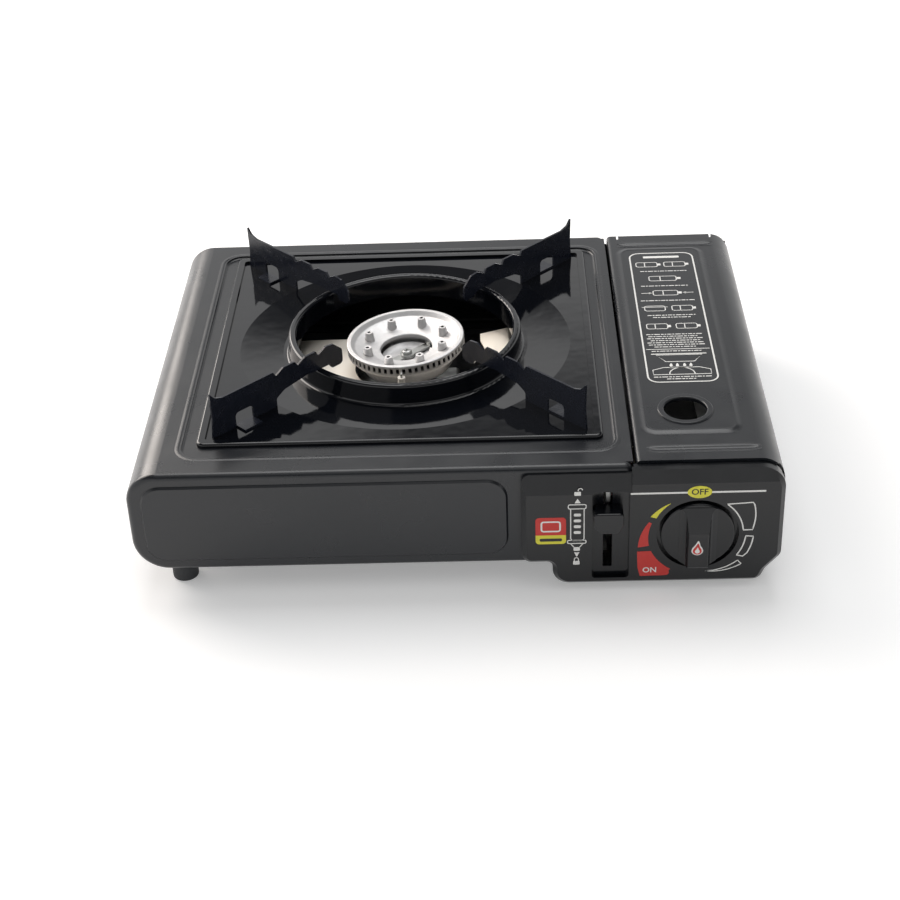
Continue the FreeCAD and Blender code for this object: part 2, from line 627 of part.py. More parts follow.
def drip_pan():
    half = PAN_SIDE / 2
    inner = half - PAN_ROLL
    roll = prism(pan_square(half, PAN_CORNER_R), "Z", SHELF_Z, PAN_ROLL_TOP_Z)
    top_edges = [e for e in roll.Edges if e.BoundBox.ZMin > PAN_ROLL_TOP_Z - 1e-4]
    roll = roll.makeFillet(PAN_ROLL / 3, top_edges)
    roll = roll.cut(prism(pan_square(inner, PAN_CORNER_R / 2), "Z", SHELF_Z - PAST, PAN_ROLL_TOP_Z + PAST))
    sheet_z = PAN_FLAT_Z - PAN_SHEET
    plate = prism(pan_square(inner + PAST, PAN_CORNER_R / 2), "Z", sheet_z, PAN_FLAT_Z)
    dish_hole = rod((PAN_X, PAN_Y, sheet_z - PAST), (PAN_X, PAN_Y, PAN_FLAT_Z + PAST), DISH_R - PAN_SHEET)
    plate = plate.cut(dish_hole)
    t = PAN_SHEET
    lip_in = COLLAR_LIP_R - COLLAR_LIP_WIDTH
    section = [(DISH_R, PAN_FLAT_Z, 0), (DISH_R, sheet_z, 0), (COLLAR_BASE_R + 2, DISH_Z - t, 1.5),
               (COLLAR_BASE_R - t, DISH_Z - t, 0.5), (COLLAR_LIP_R - t, LIP_Z - t, 0.8),
               (lip_in + t, LIP_Z - t, 0.8), (lip_in + t, LIP_Z - COLLAR_SKIRT, 0),
               (lip_in, LIP_Z - COLLAR_SKIRT, 0), (lip_in, LIP_Z, 1.6), (COLLAR_LIP_R, LIP_Z, 1.6),
               (COLLAR_BASE_R, DISH_Z, 1.5), (COLLAR_BASE_R + 3, DISH_Z, 1.5)]
    dish = turned(section, PAN_X, PAN_Y)
    return fused([roll, plate, dish])


def support_profile():
    base = PAN_FLAT_Z
    top = base + SUPPORT_TOP
    points = [(SUPPORT_FOOT_OUT, base, 0), (SUPPORT_FOOT_OUT - 1.2, base + 12, 6),
              (SUPPORT_FOOT_OUT - 0.6, base + SUPPORT_HORN, 0.2), (SUPPORT_FOOT_OUT - 3.8, top + 1.6, 4),
              (SUPPORT_FOOT_OUT - 9, top, 3)]
    for r in SUPPORT_NOTCHES:
        points += [(r + 1.8, top, 0.8), (r, top - SUPPORT_NOTCH_DEPTH, 0.5),
                   (r - SUPPORT_NOTCH_RAMP, top, 0.8)]
    points += [(SUPPORT_NOSE_R + 6, top - 0.6, 3), (SUPPORT_NOSE_R, top - 6, 3),
               (SUPPORT_NOSE_R, LIP_Z - 3, 2.6), (SUPPORT_NOSE_R + 8, LIP_Z - 3, 2),
               (SUPPORT_NOSE_R + 10, LIP_Z, 0), (COLLAR_BASE_R + 1, LIP_Z, 1),
               (COLLAR_BASE_R + 6, LIP_Z + 0.6, 2), (SUPPORT_FOOT_IN - 6, LIP_Z - 1.5, 4),
               (SUPPORT_FOOT_IN, base + 5, 2), (SUPPORT_FOOT_IN, base, 0), (SUPPORT_WINDOW_IN, base, 0),
               (SUPPORT_WINDOW_IN, base + SUPPORT_WINDOW_TOP, 2.5),
               (SUPPORT_WINDOW_OUT, base + SUPPORT_WINDOW_TOP, 2.5), (SUPPORT_WINDOW_OUT, base, 0)]
    return points


def pan_support(angle):
    plate = prism(support_profile(), "Y", -SUPPORT_SHEET / 2, SUPPORT_SHEET / 2)
    tab = box(SUPPORT_WINDOW_IN, -SUPPORT_SHEET / 2, PAN_FLAT_Z, SUPPORT_WINDOW_OUT,
              SUPPORT_FLANGE, PAN_FLAT_Z + SUPPORT_SHEET)
    web = box(SUPPORT_WINDOW_IN - PAST, -SUPPORT_SHEET / 2, PAN_FLAT_Z, SUPPORT_WINDOW_OUT + PAST,
              SUPPORT_SHEET / 2, PAN_FLAT_Z + SUPPORT_SHEET)
    shape = fused([plate, tab, web])
    shape.rotate(V(0, 0, 0), V(0, 0, 1), angle)
    shape.translate(V(PAN_X, PAN_Y, 0))
    return shape


# Burner

def tilted(shape):
    """Turn a burner piece by the small tilt that the burner has on its bracket."""
    shape = shape.copy()
    shape.rotate(V(PAN_X, PAN_Y, BURNER_RIM_Z), V(0, 1, 0), -BURNER_TILT_DEG)
    return shape


def burner_head():
    foot_z = BURNER_JOINT_Z
    section = [(BURNER_R, BURNER_RIM_Z, 0.6), (BURNER_R, foot_z, 0), (BURNER_R - 4, foot_z, 0),
               (BURNER_R - 4, BURNER_RIM_Z - 4.6, 0), (BURNER_EYE_R, BURNER_EYE_Z - 2, 0),
               (BURNER_EYE_R, BURNER_EYE_Z, 0.8), (BURNER_EYE_R + 5, BURNER_EYE_Z + 0.8, 3),
               (BURNER_R - BURNER_RIM_WIDTH - 2, BURNER_RIM_Z - 2.4, 2), (BURNER_R - BURNER_RIM_WIDTH,
               BURNER_RIM_Z, 0.4)]
    head = turned(section, PAN_X, PAN_Y)
    cutters = []
    for i in range(BURNER_SLOTS):
        cutter = box(BURNER_R - SLOT_DEPTH, -SLOT_WIDTH / 2, foot_z + SLOT_LAND, BURNER_R + PAST,
                     SLOT_WIDTH / 2, foot_z + SLOT_LAND + SLOT_HEIGHT)
        cutter.rotate(V(0, 0, 0), V(0, 0, 1), 360.0 * i / BURNER_SLOTS)
        cutter.translate(V(PAN_X, PAN_Y, 0))
        cutters.append(cutter)
    head = head.cut(Part.makeCompound(cutters))
    nipples = []
    bores = []
    for i in range(NIPPLES):
        angle = radians(NIPPLE_FIRST_DEG + 360.0 * i / NIPPLES)
        x = PAN_X + NIPPLE_CIRCLE_R * cos(angle)
        y = PAN_Y + NIPPLE_CIRCLE_R * sin(angle)
        foot = V(x, y, BURNER_RIM_Z + 0.2 - NIPPLE_HEIGHT)
        nipples.append(Part.makeCone(NIPPLE_R + 0.5, NIPPLE_R - 0.3, NIPPLE_HEIGHT, foot))
        bores.append(rod((x, y, foot.z - 4), (x, y, BURNER_RIM_Z + 2), NIPPLE_BORE_R))
    head = fused([head] + nipples).cut(Part.makeCompound(bores))
    return tilted(head)


def burner_base_outside():
    joint_z = BURNER_JOINT_Z
    outer = [(0, BOWL_BOTTOM_Z, 0), (0, joint_z, 0), (BURNER_R - 0.8, joint_z, 0),
             (BURNER_R - 1.5, joint_z - 2, 1), (BURNER_R - 6, joint_z - 3, 1),
             (BURNER_R - 8, BOWL_BELLY_Z, 4), (BOWL_WAIST_R, BOWL_WAIST_Z, 3),
             (BOWL_BOTTOM_R, BOWL_BOTTOM_Z, 0)]
    run = mixer_run()
    end = mixer_mouth()
    pipe = rod((PAN_X, PAN_Y, end[2]), end, MIXER_R)
    bell = Part.makeCone(MIXER_R, MIXER_R + 2, 6, V(*end) - run * 6, run)
    return fused([tilted(turned(outer, PAN_X, PAN_Y)), pipe, bell])


def burner_base():
    joint_z = BURNER_JOINT_Z
    w = BOWL_WALL
    inner = [(0, BOWL_BOTTOM_Z + w, 0), (0, joint_z + PAST, 0), (BURNER_R - 5, joint_z + PAST, 0),
             (BURNER_R - 6 - w, joint_z - 3, 0), (BURNER_R - 8 - w, BOWL_BELLY_Z + w, 4),
             (BOWL_WAIST_R - w, BOWL_WAIST_Z + w, 2), (BOWL_BOTTOM_R - w, BOWL_BOTTOM_Z + w, 0)]
    hollow = tilted(turned(inner, PAN_X, PAN_Y))
    end = mixer_mouth()
    bore = rod((PAN_X, PAN_Y, end[2]), tuple(V(*end) + mixer_run()), MIXER_R - MIXER_WALL)
    post = tilted(rod((PAN_X, PAN_Y, BOWL_BOTTOM_Z), (PAN_X, PAN_Y, BURNER_EYE_Z - STRAP_DROP), BOWL_POST_R))
    return fused([burner_base_outside().cut(fused([hollow, bore])), post])


def mixer_mouth():
    return MIXER_MOUTH_X, MIXER_MOUTH_Y, MIXER_Z + MIXER_WALL


def mixer_run():
    x, y, z = mixer_mouth()
    return (V(x, y, z) - V(PAN_X, PAN_Y, z)).normalize()


def burner_strap():
    reach = BURNER_EYE_R + 2.5
    z = BURNER_EYE_Z - STRAP_DROP
    bar = prism(oblong(-reach, -STRAP_WIDTH / 2, reach, STRAP_WIDTH / 2, STRAP_WIDTH / 2 - 0.05), "Z", z,
                z + STRAP_SHEET)
    boss = rod((0, 0, z), (0, 0, z + STRAP_SHEET + 0.8), STRAP_WIDTH * 0.85)
    legs = [box(s * reach - 2.2 * (s > 0), -STRAP_WIDTH / 2 + 0.6, z, s * reach + 2.2 * (s < 0),
                STRAP_WIDTH / 2 - 0.6, BURNER_EYE_Z - 1.9) for s in (-1, 1)]
    shape = fused([bar, boss] + legs)
    shape.rotate(V(0, 0, 0), V(0, 0, 1), STRAP_DEG)
    shape.translate(V(PAN_X, PAN_Y, 0))
    return tilted(shape)


def burner_screw():
    z = BURNER_EYE_Z - STRAP_DROP + STRAP_SHEET + 0.8
    head = turned([(0, z, 0), (0, z + 1.9, 0), (2.9, z + 1.9, 1.2), (2.9, z, 0)], PAN_X, PAN_Y)
    cross = fused([box(PAN_X - 1.8, PAN_Y - 0.35, z + 0.9, PAN_X + 1.8, PAN_Y + 0.35, z + 3),
                   box(PAN_X - 0.35, PAN_Y - 1.8, z + 0.9, PAN_X + 0.35, PAN_Y + 1.8, z + 3)])
    return tilted(head.cut(cross))


def burner_bracket():
    floor = CASE_BOTTOM_Z + SHEET
    top = BOWL_BOTTOM_Z - 0.4
    left = PAN_X - BRACKET_HALF
    right = PAN_X + BRACKET_HALF
    floor = floor + BRACKET_SHEET
    path = [(left - BRACKET_FOOT, floor, 0), (left, floor, 1.5), (left, top, 2), (right, top, 2),
            (right, floor, 1.5), (right + BRACKET_FOOT, floor, 0)]
    bracket = prism(strip(path, BRACKET_SHEET), "Y", PAN_Y - 3, PAN_Y - 3 + BRACKET_WIDTH)
    return bracket.cut(burner_base_outside())


def reflector_plate():
    floor = CASE_BOTTOM_Z + SHEET
    z = REFLECTOR_Z
    top = z + REFLECTOR_SHEET
    path = [(REFLECTOR_LEFT, floor, 0), (REFLECTOR_LEFT, top, 3), (REFLECTOR_BEND_X, top, 8),
            (REFLECTOR_RIGHT, z + REFLECTOR_RISE, 3), (REFLECTOR_RIGHT, floor, 0)]
    plate = prism(strip(path, REFLECTOR_SHEET), "Y", REFLECTOR_FRONT, REFLECTOR_BACK)
    plate = plate.cut(rod((PAN_X, PAN_Y, z - 5), (PAN_X, PAN_Y, z + 12), BURNER_R - 4))
    plate = plate.cut(box(REFLECTOR_RIGHT - 5, REFLECTOR_FRONT - PAST, floor - PAST, REFLECTOR_RIGHT + PAST,
                          REFLECTOR_BACK - 40, z))
    plate = plate.cut(rod((ELECTRODE_X, ELECTRODE_Y, z - 5), (ELECTRODE_X, ELECTRODE_Y, z + 5), 2.2))
    return plate


# Ignition

def ignition_electrode():
    z = REFLECTOR_Z
    post = rod((ELECTRODE_X, ELECTRODE_Y, z - 6), (ELECTRODE_X, ELECTRODE_Y, ELECTRODE_TOP_Z),
               ELECTRODE_R - 0.05)
    flange = rod((ELECTRODE_X, ELECTRODE_Y, z + 0.8), (ELECTRODE_X, ELECTRODE_Y, z + 3), ELECTRODE_R + 1.6)
    return fused([post, flange])


def electrode_needle():
    z = ELECTRODE_TOP_Z
    stem = rod((ELECTRODE_X, ELECTRODE_Y, z), (ELECTRODE_X, ELECTRODE_Y, z + 2.2), NEEDLE_R)
    tip = box(ELECTRODE_X - 0.4, ELECTRODE_Y, z + 0.8, ELECTRODE_X + 0.4, ELECTRODE_Y + NEEDLE_REACH, z + 1.6)
    return fused([stem, tip])


def igniter_axis():
    return KNOB_X - CAM_R, KNOB_Z


def lead_route():
    x, z = igniter_axis()
    side = x - IGNITER_R
    y = igniter_front() + IGNITER_LENGTH - 4
    low = LEAD_LOW_Z
    return [V(ELECTRODE_X, ELECTRODE_Y, REFLECTOR_Z - 6), V(ELECTRODE_X, ELECTRODE_Y, low + 6),
            V(ELECTRODE_X + 26, ELECTRODE_Y - 22, low), V(ELECTRODE_X + 49.75, ELECTRODE_Y - 40.8, low),
            V(side - 49, y + 6, low + 4), V(side - 18, y, z), V(side, y, z)]


def rounded_path(points):
    """Straight runs joined by tangent arcs, each as large as its shorter run allows."""
    edges = []
    here = points[0]
    for before, corner, after in zip(points, points[1:], points[2:]):
        a = before - corner
        b = after - corner
        turn = pi - a.getAngle(b)
        run = 0.45 * min(a.Length, b.Length)
        r = run / tan(turn / 2)
        a.normalize()
        b.normalize()
        start = corner + a * run
        end = corner + b * run
        middle = a + b
        middle.normalize()
        reach = r / cos(turn / 2) - r
        edges.append(Part.makeLine(here, start))
        edges.append(Part.Arc(start, corner + middle * reach, end).toShape())
        here = end
    edges.append(Part.makeLine(here, points[-1]))
    return Part.Wire(edges)


def ignition_lead():
    points = lead_route()
    path = rounded_path(points)
    ring = Part.Wire([Part.makeCircle(LEAD_R, points[0], points[1] - points[0])])
    return path.makePipeShell([ring], True, False)


def igniter_front():
    return CAM_Y + CAM_PLATE + CAM_TRAVEL + RUN_CLEARANCE + 4


def piezo_igniter():
    x, z = igniter_axis()
    front = igniter_front()
    case = rod((x, front, z), (x, front + IGNITER_LENGTH, z), IGNITER_R)
    bore = rod((x, front - PAST, z), (x, front + PLUNGER_BORE, z), PLUNGER_R + SPINDLE_PLAY)
    arm = box(x + IGNITER_R - 2, front + 4, z - 4, REG_LEFT, front + 8, z + 4)
    back = front + IGNITER_LENGTH - 4
    plug = rod((x - IGNITER_R, back, z), (x, back, z), LEAD_R + 0.8)
    return fused([case, arm, plug]).cut(bore)


def piezo_plunger():
    x, z = igniter_axis()
    front = igniter_front()
    tip = CAM_Y + CAM_PLATE + CAM_START + RUN_CLEARANCE
    stem = rod((x, tip + 2, z), (x, front + PLUNGER_BORE - CAM_TRAVEL - PAST, z), PLUNGER_R)
    nose = Part.makeCone(0.6, PLUNGER_R, 2, V(x, tip, z), V(0, 1, 0))
    return fused([stem, nose])


def igniter_cam():
    """Disc on the spindle with a ramp that presses the plunger in as the knob turns."""
    face = CAM_Y + CAM_PLATE
    disc = rod((KNOB_X, CAM_Y, KNOB_Z), (KNOB_X, face, KNOB_Z), CAM_R + CAM_HALF_WIDTH)
    hub = rod((KNOB_X, CAM_Y + CAM_PLATE / 2, KNOB_Z), (KNOB_X, face + 3, KNOB_Z), SPINDLE_R + 3)
    bore = rod((KNOB_X, CAM_Y - PAST, KNOB_Z), (KNOB_X, face + 9, KNOB_Z), SPINDLE_R)
    sections = []
    for i in range(CAM_STEPS + 1):
        angle = radians(180.0 - CAM_SWEEP_DEG * i / CAM_STEPS)
        rise = CAM_TRAVEL * i / CAM_STEPS + CAM_START
        corners = [(CAM_R - CAM_HALF_WIDTH, face - 0.4), (CAM_R + CAM_HALF_WIDTH, face - 0.4),
                   (CAM_R + CAM_HALF_WIDTH, face + rise), (CAM_R - CAM_HALF_WIDTH, face + rise)]
        ring = [V(KNOB_X + r * cos(angle), y, KNOB_Z + r * sin(angle)) for r, y in corners]
        sections.append(Part.makePolygon(ring + ring[:1]))
    ramp = Part.makeLoft(sections, True, True)
    return disc.fuse(ramp).fuse(hub).cut(bore).removeSplitter()


# Gas way

def regulator_body():
    block = prism(oblong(REG_LEFT, REG_LOW_Z, REG_RIGHT, REG_HIGH_Z, 4), "Y", REG_FRONT, REG_BACK)
    nose = rod((CANISTER_X, REG_BACK, CANISTER_Z), (CANISTER_X, REG_BACK + 5, CANISTER_Z), SEAT_R + 3)
    seat = rod((CANISTER_X, REG_BACK + 1, CANISTER_Z), (CANISTER_X, REG_BACK + 6, CANISTER_Z), SEAT_R)
    way = rod((CANISTER_X, REG_BACK - 12, CANISTER_Z), (CANISTER_X, REG_BACK + 2, CANISTER_Z), 2.2)
    bore = rod((KNOB_X, REG_FRONT - PAST, KNOB_Z), (KNOB_X, REG_FRONT + 14, KNOB_Z), SPINDLE_R + SPINDLE_PLAY)
    room = rod((REG_CAP_X, REG_CAP_Y, REG_HIGH_Z - 9), (REG_CAP_X, REG_CAP_Y, REG_HIGH_Z + PAST),
               REG_CAP_R - 3)
    outlet = rod((REG_LEFT - 8, REG_BACK - 8, OUTLET_Z), (REG_LEFT + 3, REG_BACK - 8, OUTLET_Z), OUTLET_R)
    foot = box(REG_RIGHT - 6, REG_FRONT + 4, REG_LOW_Z + 12,
               BAY_RIGHT - SHEET, REG_FRONT + 10, REG_LOW_Z + 22)
    lugs = [rod((x, BAY_FRONT + PAST, z), (x, REG_FRONT, z), LUG_R) for x, z in panel_lugs()]
    shape = fused([block, nose, outlet, foot] + lugs)
    return shape.cut(seat).cut(way).cut(bore).cut(room)


def panel_lugs():
    return (REG_RIGHT - 2, REG_HIGH_Z - 4), (REG_RIGHT - 2, REG_LOW_Z + 2)


def regulator_cap():
    z = REG_HIGH_Z
    dome = turned([(0, z, 0), (0, z + 9, 0), (REG_CAP_R - 4, z + 9, 2), (REG_CAP_R - 4, z + 2.4, 1.5),
                   (REG_CAP_R, z + 2.4, 0.8), (REG_CAP_R, z, 0)], REG_CAP_X, REG_CAP_Y)
    return dome.cut(rod((REG_CAP_X, REG_CAP_Y, z - PAST), (REG_CAP_X, REG_CAP_Y, z + 7), REG_CAP_R - 6.5))


def regulator_diaphragm():
    return rod((REG_CAP_X, REG_CAP_Y, REG_HIGH_Z - 1.5), (REG_CAP_X, REG_CAP_Y, REG_HIGH_Z), REG_CAP_R - 3.1)


def regulator_spring():
    coil = Part.makeHelix(1.8, 5.4, 4.2)
    ring = Part.Wire([Part.makeCircle(0.5, V(4.2, 0, 0), V(0, 1, 0))])
    spring = coil.makePipeShell([ring], True, True)
    spring.translate(V(REG_CAP_X, REG_CAP_Y, REG_HIGH_Z + 0.8))
    return spring


def gas_pipe():
    """Pipe from the regulator's outlet down to the jet at the mixer's mouth."""
    x, y, z = mixer_mouth()
    run = mixer_run()
    back = V(x, y, z) + run * 12
    start = V(REG_LEFT - 8, REG_BACK - 8, OUTLET_Z)
    points = [start, V(start.x - 14, start.y, start.z), back + run * 14, back]
    path = rounded_path(points)
    ring = Part.Wire([Part.makeCircle(GAS_PIPE_R, start, V(-1, 0, 0))])
    return path.makePipeShell([ring], True, False)


def gas_jet():
    x, y, z = mixer_mouth()
    run = mixer_run()
    tip = V(x, y, z) + run * 4
    body = Part.makeCylinder(JET_R, 8, tip, run)
    nose = Part.makeCone(1.4, 3.0, 3, tip - run * 3, run)
    return fused([body, nose])


def air_shutter():
    """Slotted collar on the mixer's mouth that carries the jet."""
    x, y, z = mixer_mouth()
    run = mixer_run()
    start = V(x, y, z)
    shell = Part.makeCylinder(MIXER_R + 2, 5, start, run).cut(Part.makeCylinder(MIXER_R, 4, start, run))
    shell = shell.cut(Part.makeCylinder(JET_R, 20, start, run))
    side = run.cross(V(0, 0, 1))
    for turn in range(3):
        port = Part.makeCylinder(1.8, 40, start + run * 2 - side * 20, side)
        port.rotate(start, run, 60.0 * turn)
        shell = shell.cut(port)
    return shell


def canister_seal():
    return tube((CANISTER_X, REG_BACK + 1, CANISTER_Z), (CANISTER_X, REG_BACK + 3, CANISTER_Z),
                SEAT_R - 0.1, 2.6)


def canister_guide():
    """Upright plate that centres the canister's collar and keys its notch."""
    y = REG_BACK + 7
    low = BAY_BOTTOM_Z + SHEET
    left = COVER_RIGHT + SHEET
    right = BAY_RIGHT - SHEET
    outline = [(left, low, BAY_R - SHEET), (left, GUIDE_TOP_Z, 7), (right, GUIDE_TOP_Z, 7),
               (right, low, BAY_OUTER_R - SHEET)]
    plate = prism(outline, "Y", y, y + 1.2)
    plate = plate.cut(rod((CANISTER_X, y - PAST, CANISTER_Z), (CANISTER_X, y + 3, CANISTER_Z), 19))
    key = box(CANISTER_X - 2, y, CANISTER_Z + 14, CANISTER_X + 2, y + 1.2, CANISTER_Z + 20)
    gate = box(CANISTER_X - 21, y - PAST, low - PAST, CANISTER_X + 21, y + 3, low + 3.2)
    return fused([plate, key]).cut(gate)


# Control panel, knob and lever

def panel_outline():
    return [(PANEL_STEP_X, PANEL_BOTTOM_Z, 9), (PANEL_STEP_X, PANEL_STEP_Z, 3), (PANEL_LEFT, PANEL_STEP_Z, 5),
            (PANEL_LEFT, PANEL_LEFT_TOP_Z, 4), (COVER_RIGHT - 1, PANEL_LEFT_TOP_Z, 0),
            (COVER_RIGHT - 1, PANEL_RIGHT_TOP_Z, 0), (PANEL_RIGHT, PANEL_RIGHT_TOP_Z, 12),
            (PANEL_RIGHT, PANEL_STEP_Z + 2, 6), (PANEL_LOW_RIGHT, PANEL_BOTTOM_Z + 7, 5),
            (PANEL_LOW_RIGHT - 3, PANEL_BOTTOM_Z, 5)]


def panel_block(gap):
    block = prism(inset(panel_outline(), gap), "Y", PANEL_FACE + gap, BAY_FRONT)
    if not gap:
        block = block.makeChamfer(PANEL_BEVEL, edges_at_y(block, PANEL_FACE))
    for x0, x1, crease, top in ((PANEL_LEFT - 9, COVER_RIGHT - 1, BROW_LEFT_Z, PANEL_LEFT_TOP_Z),
                                (COVER_RIGHT - 1, PANEL_RIGHT + 9, BROW_RIGHT_Z, PANEL_RIGHT_TOP_Z)):
        rise = top + 9 - crease
        face = PANEL_FACE + gap * 1.2
        wedge = flat([(PANEL_FACE - 9, crease), (PANEL_FACE - 9, top + 9),
                      (face + rise * BROW_SLOPE, top + 9), (face, crease)])
        block = block.cut(prism(wedge, "X", x0, x1))
    return block


def control_panel():
    shell = panel_block(0)
    floor = box(RECESS_LEFT - PANEL_WALL, PANEL_FACE + PANEL_WALL, RECESS_LOW_Z - PANEL_WALL,
                RECESS_RIGHT + PANEL_WALL, PANEL_FACE + RECESS_DEPTH + PANEL_WALL, RECESS_HIGH_Z + PANEL_WALL)
    well_r = KNOB_R + KNOB_WELL_PLAY
    pot = rod((KNOB_X, PANEL_FACE + PANEL_WALL, KNOB_Z),
              (KNOB_X, PANEL_FACE + KNOB_WELL_DEPTH + PANEL_WALL, KNOB_Z), well_r + PANEL_WALL)
    cavity = panel_block(PANEL_WALL).cut(fused([floor, pot]))
    cavity = cavity.fuse(box(PANEL_LEFT, BAY_FRONT - 0.5, PANEL_STEP_Z, COVER_RIGHT, BAY_FRONT, TOP_Z))
    shell = shell.cut(cavity)
    shell = shell.cut(box(PANEL_LEFT - 9, BODY_FRONT, CASE_BOTTOM_Z, COVER_RIGHT, BAY_FRONT + PAST, TOP_Z))
    shell = shell.cut(box(LID_LEFT - 3, LID_FRONT - RUN_CLEARANCE, LID_TOP_Z - LID_END_SKIRT - PAST,
                          RIGHT + 9, BAY_FRONT + PAST, LID_TOP_Z + 9))
    shell = shell.cut(box(BAY_RIGHT + 0.1, LID_FRONT - RUN_CLEARANCE, LID_SKIRT_Z - PAST, RIGHT + 9,
                          BAY_FRONT + PAST, LID_TOP_Z + 9))
    recess = prism(oblong(RECESS_LEFT, RECESS_LOW_Z, RECESS_RIGHT, RECESS_HIGH_Z, 2), "Y", PANEL_FACE - PAST,
                   PANEL_FACE + RECESS_DEPTH)
    slot = prism(oblong(LEVER_X - LEVER_SLOT_WIDTH / 2, LEVER_SLOT_LOW_Z, LEVER_X + LEVER_SLOT_WIDTH / 2,
                        LEVER_SLOT_HIGH_Z, 0.6), "Y", PANEL_FACE, PANEL_FACE + 9)
    well = rod((KNOB_X, PANEL_FACE - PAST, KNOB_Z), (KNOB_X, PANEL_FACE + KNOB_WELL_DEPTH, KNOB_Z), well_r)
    hub_hole = rod((KNOB_X, PANEL_FACE - PAST, KNOB_Z), (KNOB_X, PANEL_FACE + 9, KNOB_Z), SPINDLE_R + 4.5)
    shell = shell.cut(recess).cut(slot).cut(well).cut(hub_hole)
    for x, z in panel_lugs():
        boss = rod((x, PANEL_FACE + PANEL_WALL, z), (x, BAY_FRONT + PAST, z), LUG_R)
        screw = rod((x, PANEL_FACE + PANEL_WALL, z), (x, BAY_FRONT + PAST, z), LUG_BORE_R)
        shell = shell.fuse(boss).cut(screw)
    return shell.removeSplitter()


def knob_grip(face):
    """Grip bar of the knob: it rises from the disc's top edge and flares into the disc on both sides."""
    low = KNOB_Z - KNOB_R
    high = KNOB_Z + KNOB_R
    side = [(face + 1, high - 1.6, 0), (face + 1, low + 0.6, 0), (KNOB_FRONT, low + 1.2, 2.0),
            (KNOB_FRONT, KNOB_Z + 3, 7), (face - 0.4, high - 1.8, 0.8)]
    half = GRIP_WIDTH / 2
    foot = half + GRIP_FLARE
    flank = [(foot, face + 1, 0), (foot, face - 0.2, 0), (half + 0.9, face - 1.6, 3), (half, KNOB_FRONT, 1.2)]
    plan = [(KNOB_X - u, v, r) for u, v, r in flank] + [(KNOB_X + u, v, r) for u, v, r in flank[::-1]]
    round_edge = rod((KNOB_X, face + 2, KNOB_Z), (KNOB_X, KNOB_FRONT - PAST, KNOB_Z), KNOB_R - 0.4)
    bar = prism(side, "X", KNOB_X - foot, KNOB_X + foot)
    return bar.common(prism(plan, "Z", low, high)).common(round_edge)


def control_knob():
    face = PANEL_FACE - KNOB_DISC_PROUD
    back = PANEL_FACE + KNOB_WELL_DEPTH - RUN_CLEARANCE
    disc = rod((KNOB_X, back, KNOB_Z), (KNOB_X, face, KNOB_Z), KNOB_R)
    disc = disc.makeFillet(1.2, edges_at_y(disc, face))
    hollow = rod((KNOB_X, back + PAST, KNOB_Z), (KNOB_X, face + 2.2, KNOB_Z), KNOB_R - 2)
    disc = disc.cut(hollow)
    grip = knob_grip(face)
    hub = rod((KNOB_X, face, KNOB_Z), (KNOB_X, PANEL_FACE + KNOB_WELL_DEPTH + 2, KNOB_Z), SPINDLE_R + 2.2)
    bore = rod((KNOB_X, face - 2, KNOB_Z), (KNOB_X, PANEL_FACE + 20, KNOB_Z), SPINDLE_R)
    return fused([disc, grip, hub]).cut(bore)


def valve_spindle():
    front = PANEL_FACE - KNOB_DISC_PROUD - 2
    return rod((KNOB_X, front, KNOB_Z), (KNOB_X, REG_FRONT + 13, KNOB_Z), SPINDLE_R)


def lock_lever():
    low = LEVER_LOW_Z
    high = LEVER_HIGH_Z
    half = LEVER_WIDTH / 2
    back = PANEL_FACE + RECESS_DEPTH - RUN_CLEARANCE
    outline = [(LEVER_X - half, high, 2.5), (LEVER_X + half, high, 2.5), (LEVER_X + half, low + 9, 3),
               (LEVER_X + 3, low, 2), (LEVER_X - 3, low, 2), (LEVER_X - half, low + 9, 3)]
    button = prism(outline, "Y", PANEL_FACE - LEVER_PROUD, back)
    under = flat([(PANEL_FACE - LEVER_PROUD - PAST, low - PAST), (PANEL_FACE - LEVER_PROUD - PAST, low + 5),
                  (PANEL_FACE + 1, low - PAST)])
    button = button.cut(prism(under, "X", LEVER_X - half - PAST, LEVER_X + half + PAST))
    button = button.makeFillet(1.0, edges_at_y(button, PANEL_FACE - LEVER_PROUD))
    stem_half = LEVER_SLOT_WIDTH / 2 - 0.8
    stem = box(LEVER_X - stem_half, back - PAST, low + 3, LEVER_X + stem_half, SLIDER_FRONT, high - 3)
    return fused([button, stem])


def lever_slider():
    """Steel plate behind the lever, with a slanted slot for the carrier's pin."""
    half = SLIDER_SHEET / 2
    plate = box(LEVER_X - half, SLIDER_FRONT, SLIDER_LOW_Z, LEVER_X + half, SLIDER_BACK, SLIDER_HIGH_Z)
    tongue = box(LEVER_X - half, PANEL_FACE + RECESS_DEPTH + 0.4, LEVER_HIGH_Z + 1.2, LEVER_X + half,
                 SLIDER_FRONT + PAST, SLIDER_HIGH_Z - 3)
    r = FOLLOWER_R + FOLLOWER_PLAY
    start = V(LEVER_X - 5, FOLLOWER_Y, FOLLOWER_Z)
    end = start + V(0, -CARRIER_TRAVEL, LEVER_TRAVEL)
    along = end - start
    side = V(0, along.z, -along.y).normalize() * r
    ends = [Part.makeCylinder(r, 10, p, V(1, 0, 0)) for p in (start, end)]
    track = Part.Face(Part.makePolygon([start + side, end + side, end - side, start - side, start + side]))
    slot = fused(ends + [track.extrude(V(10, 0, 0))])
    return fused([plate, tongue]).cut(slot)


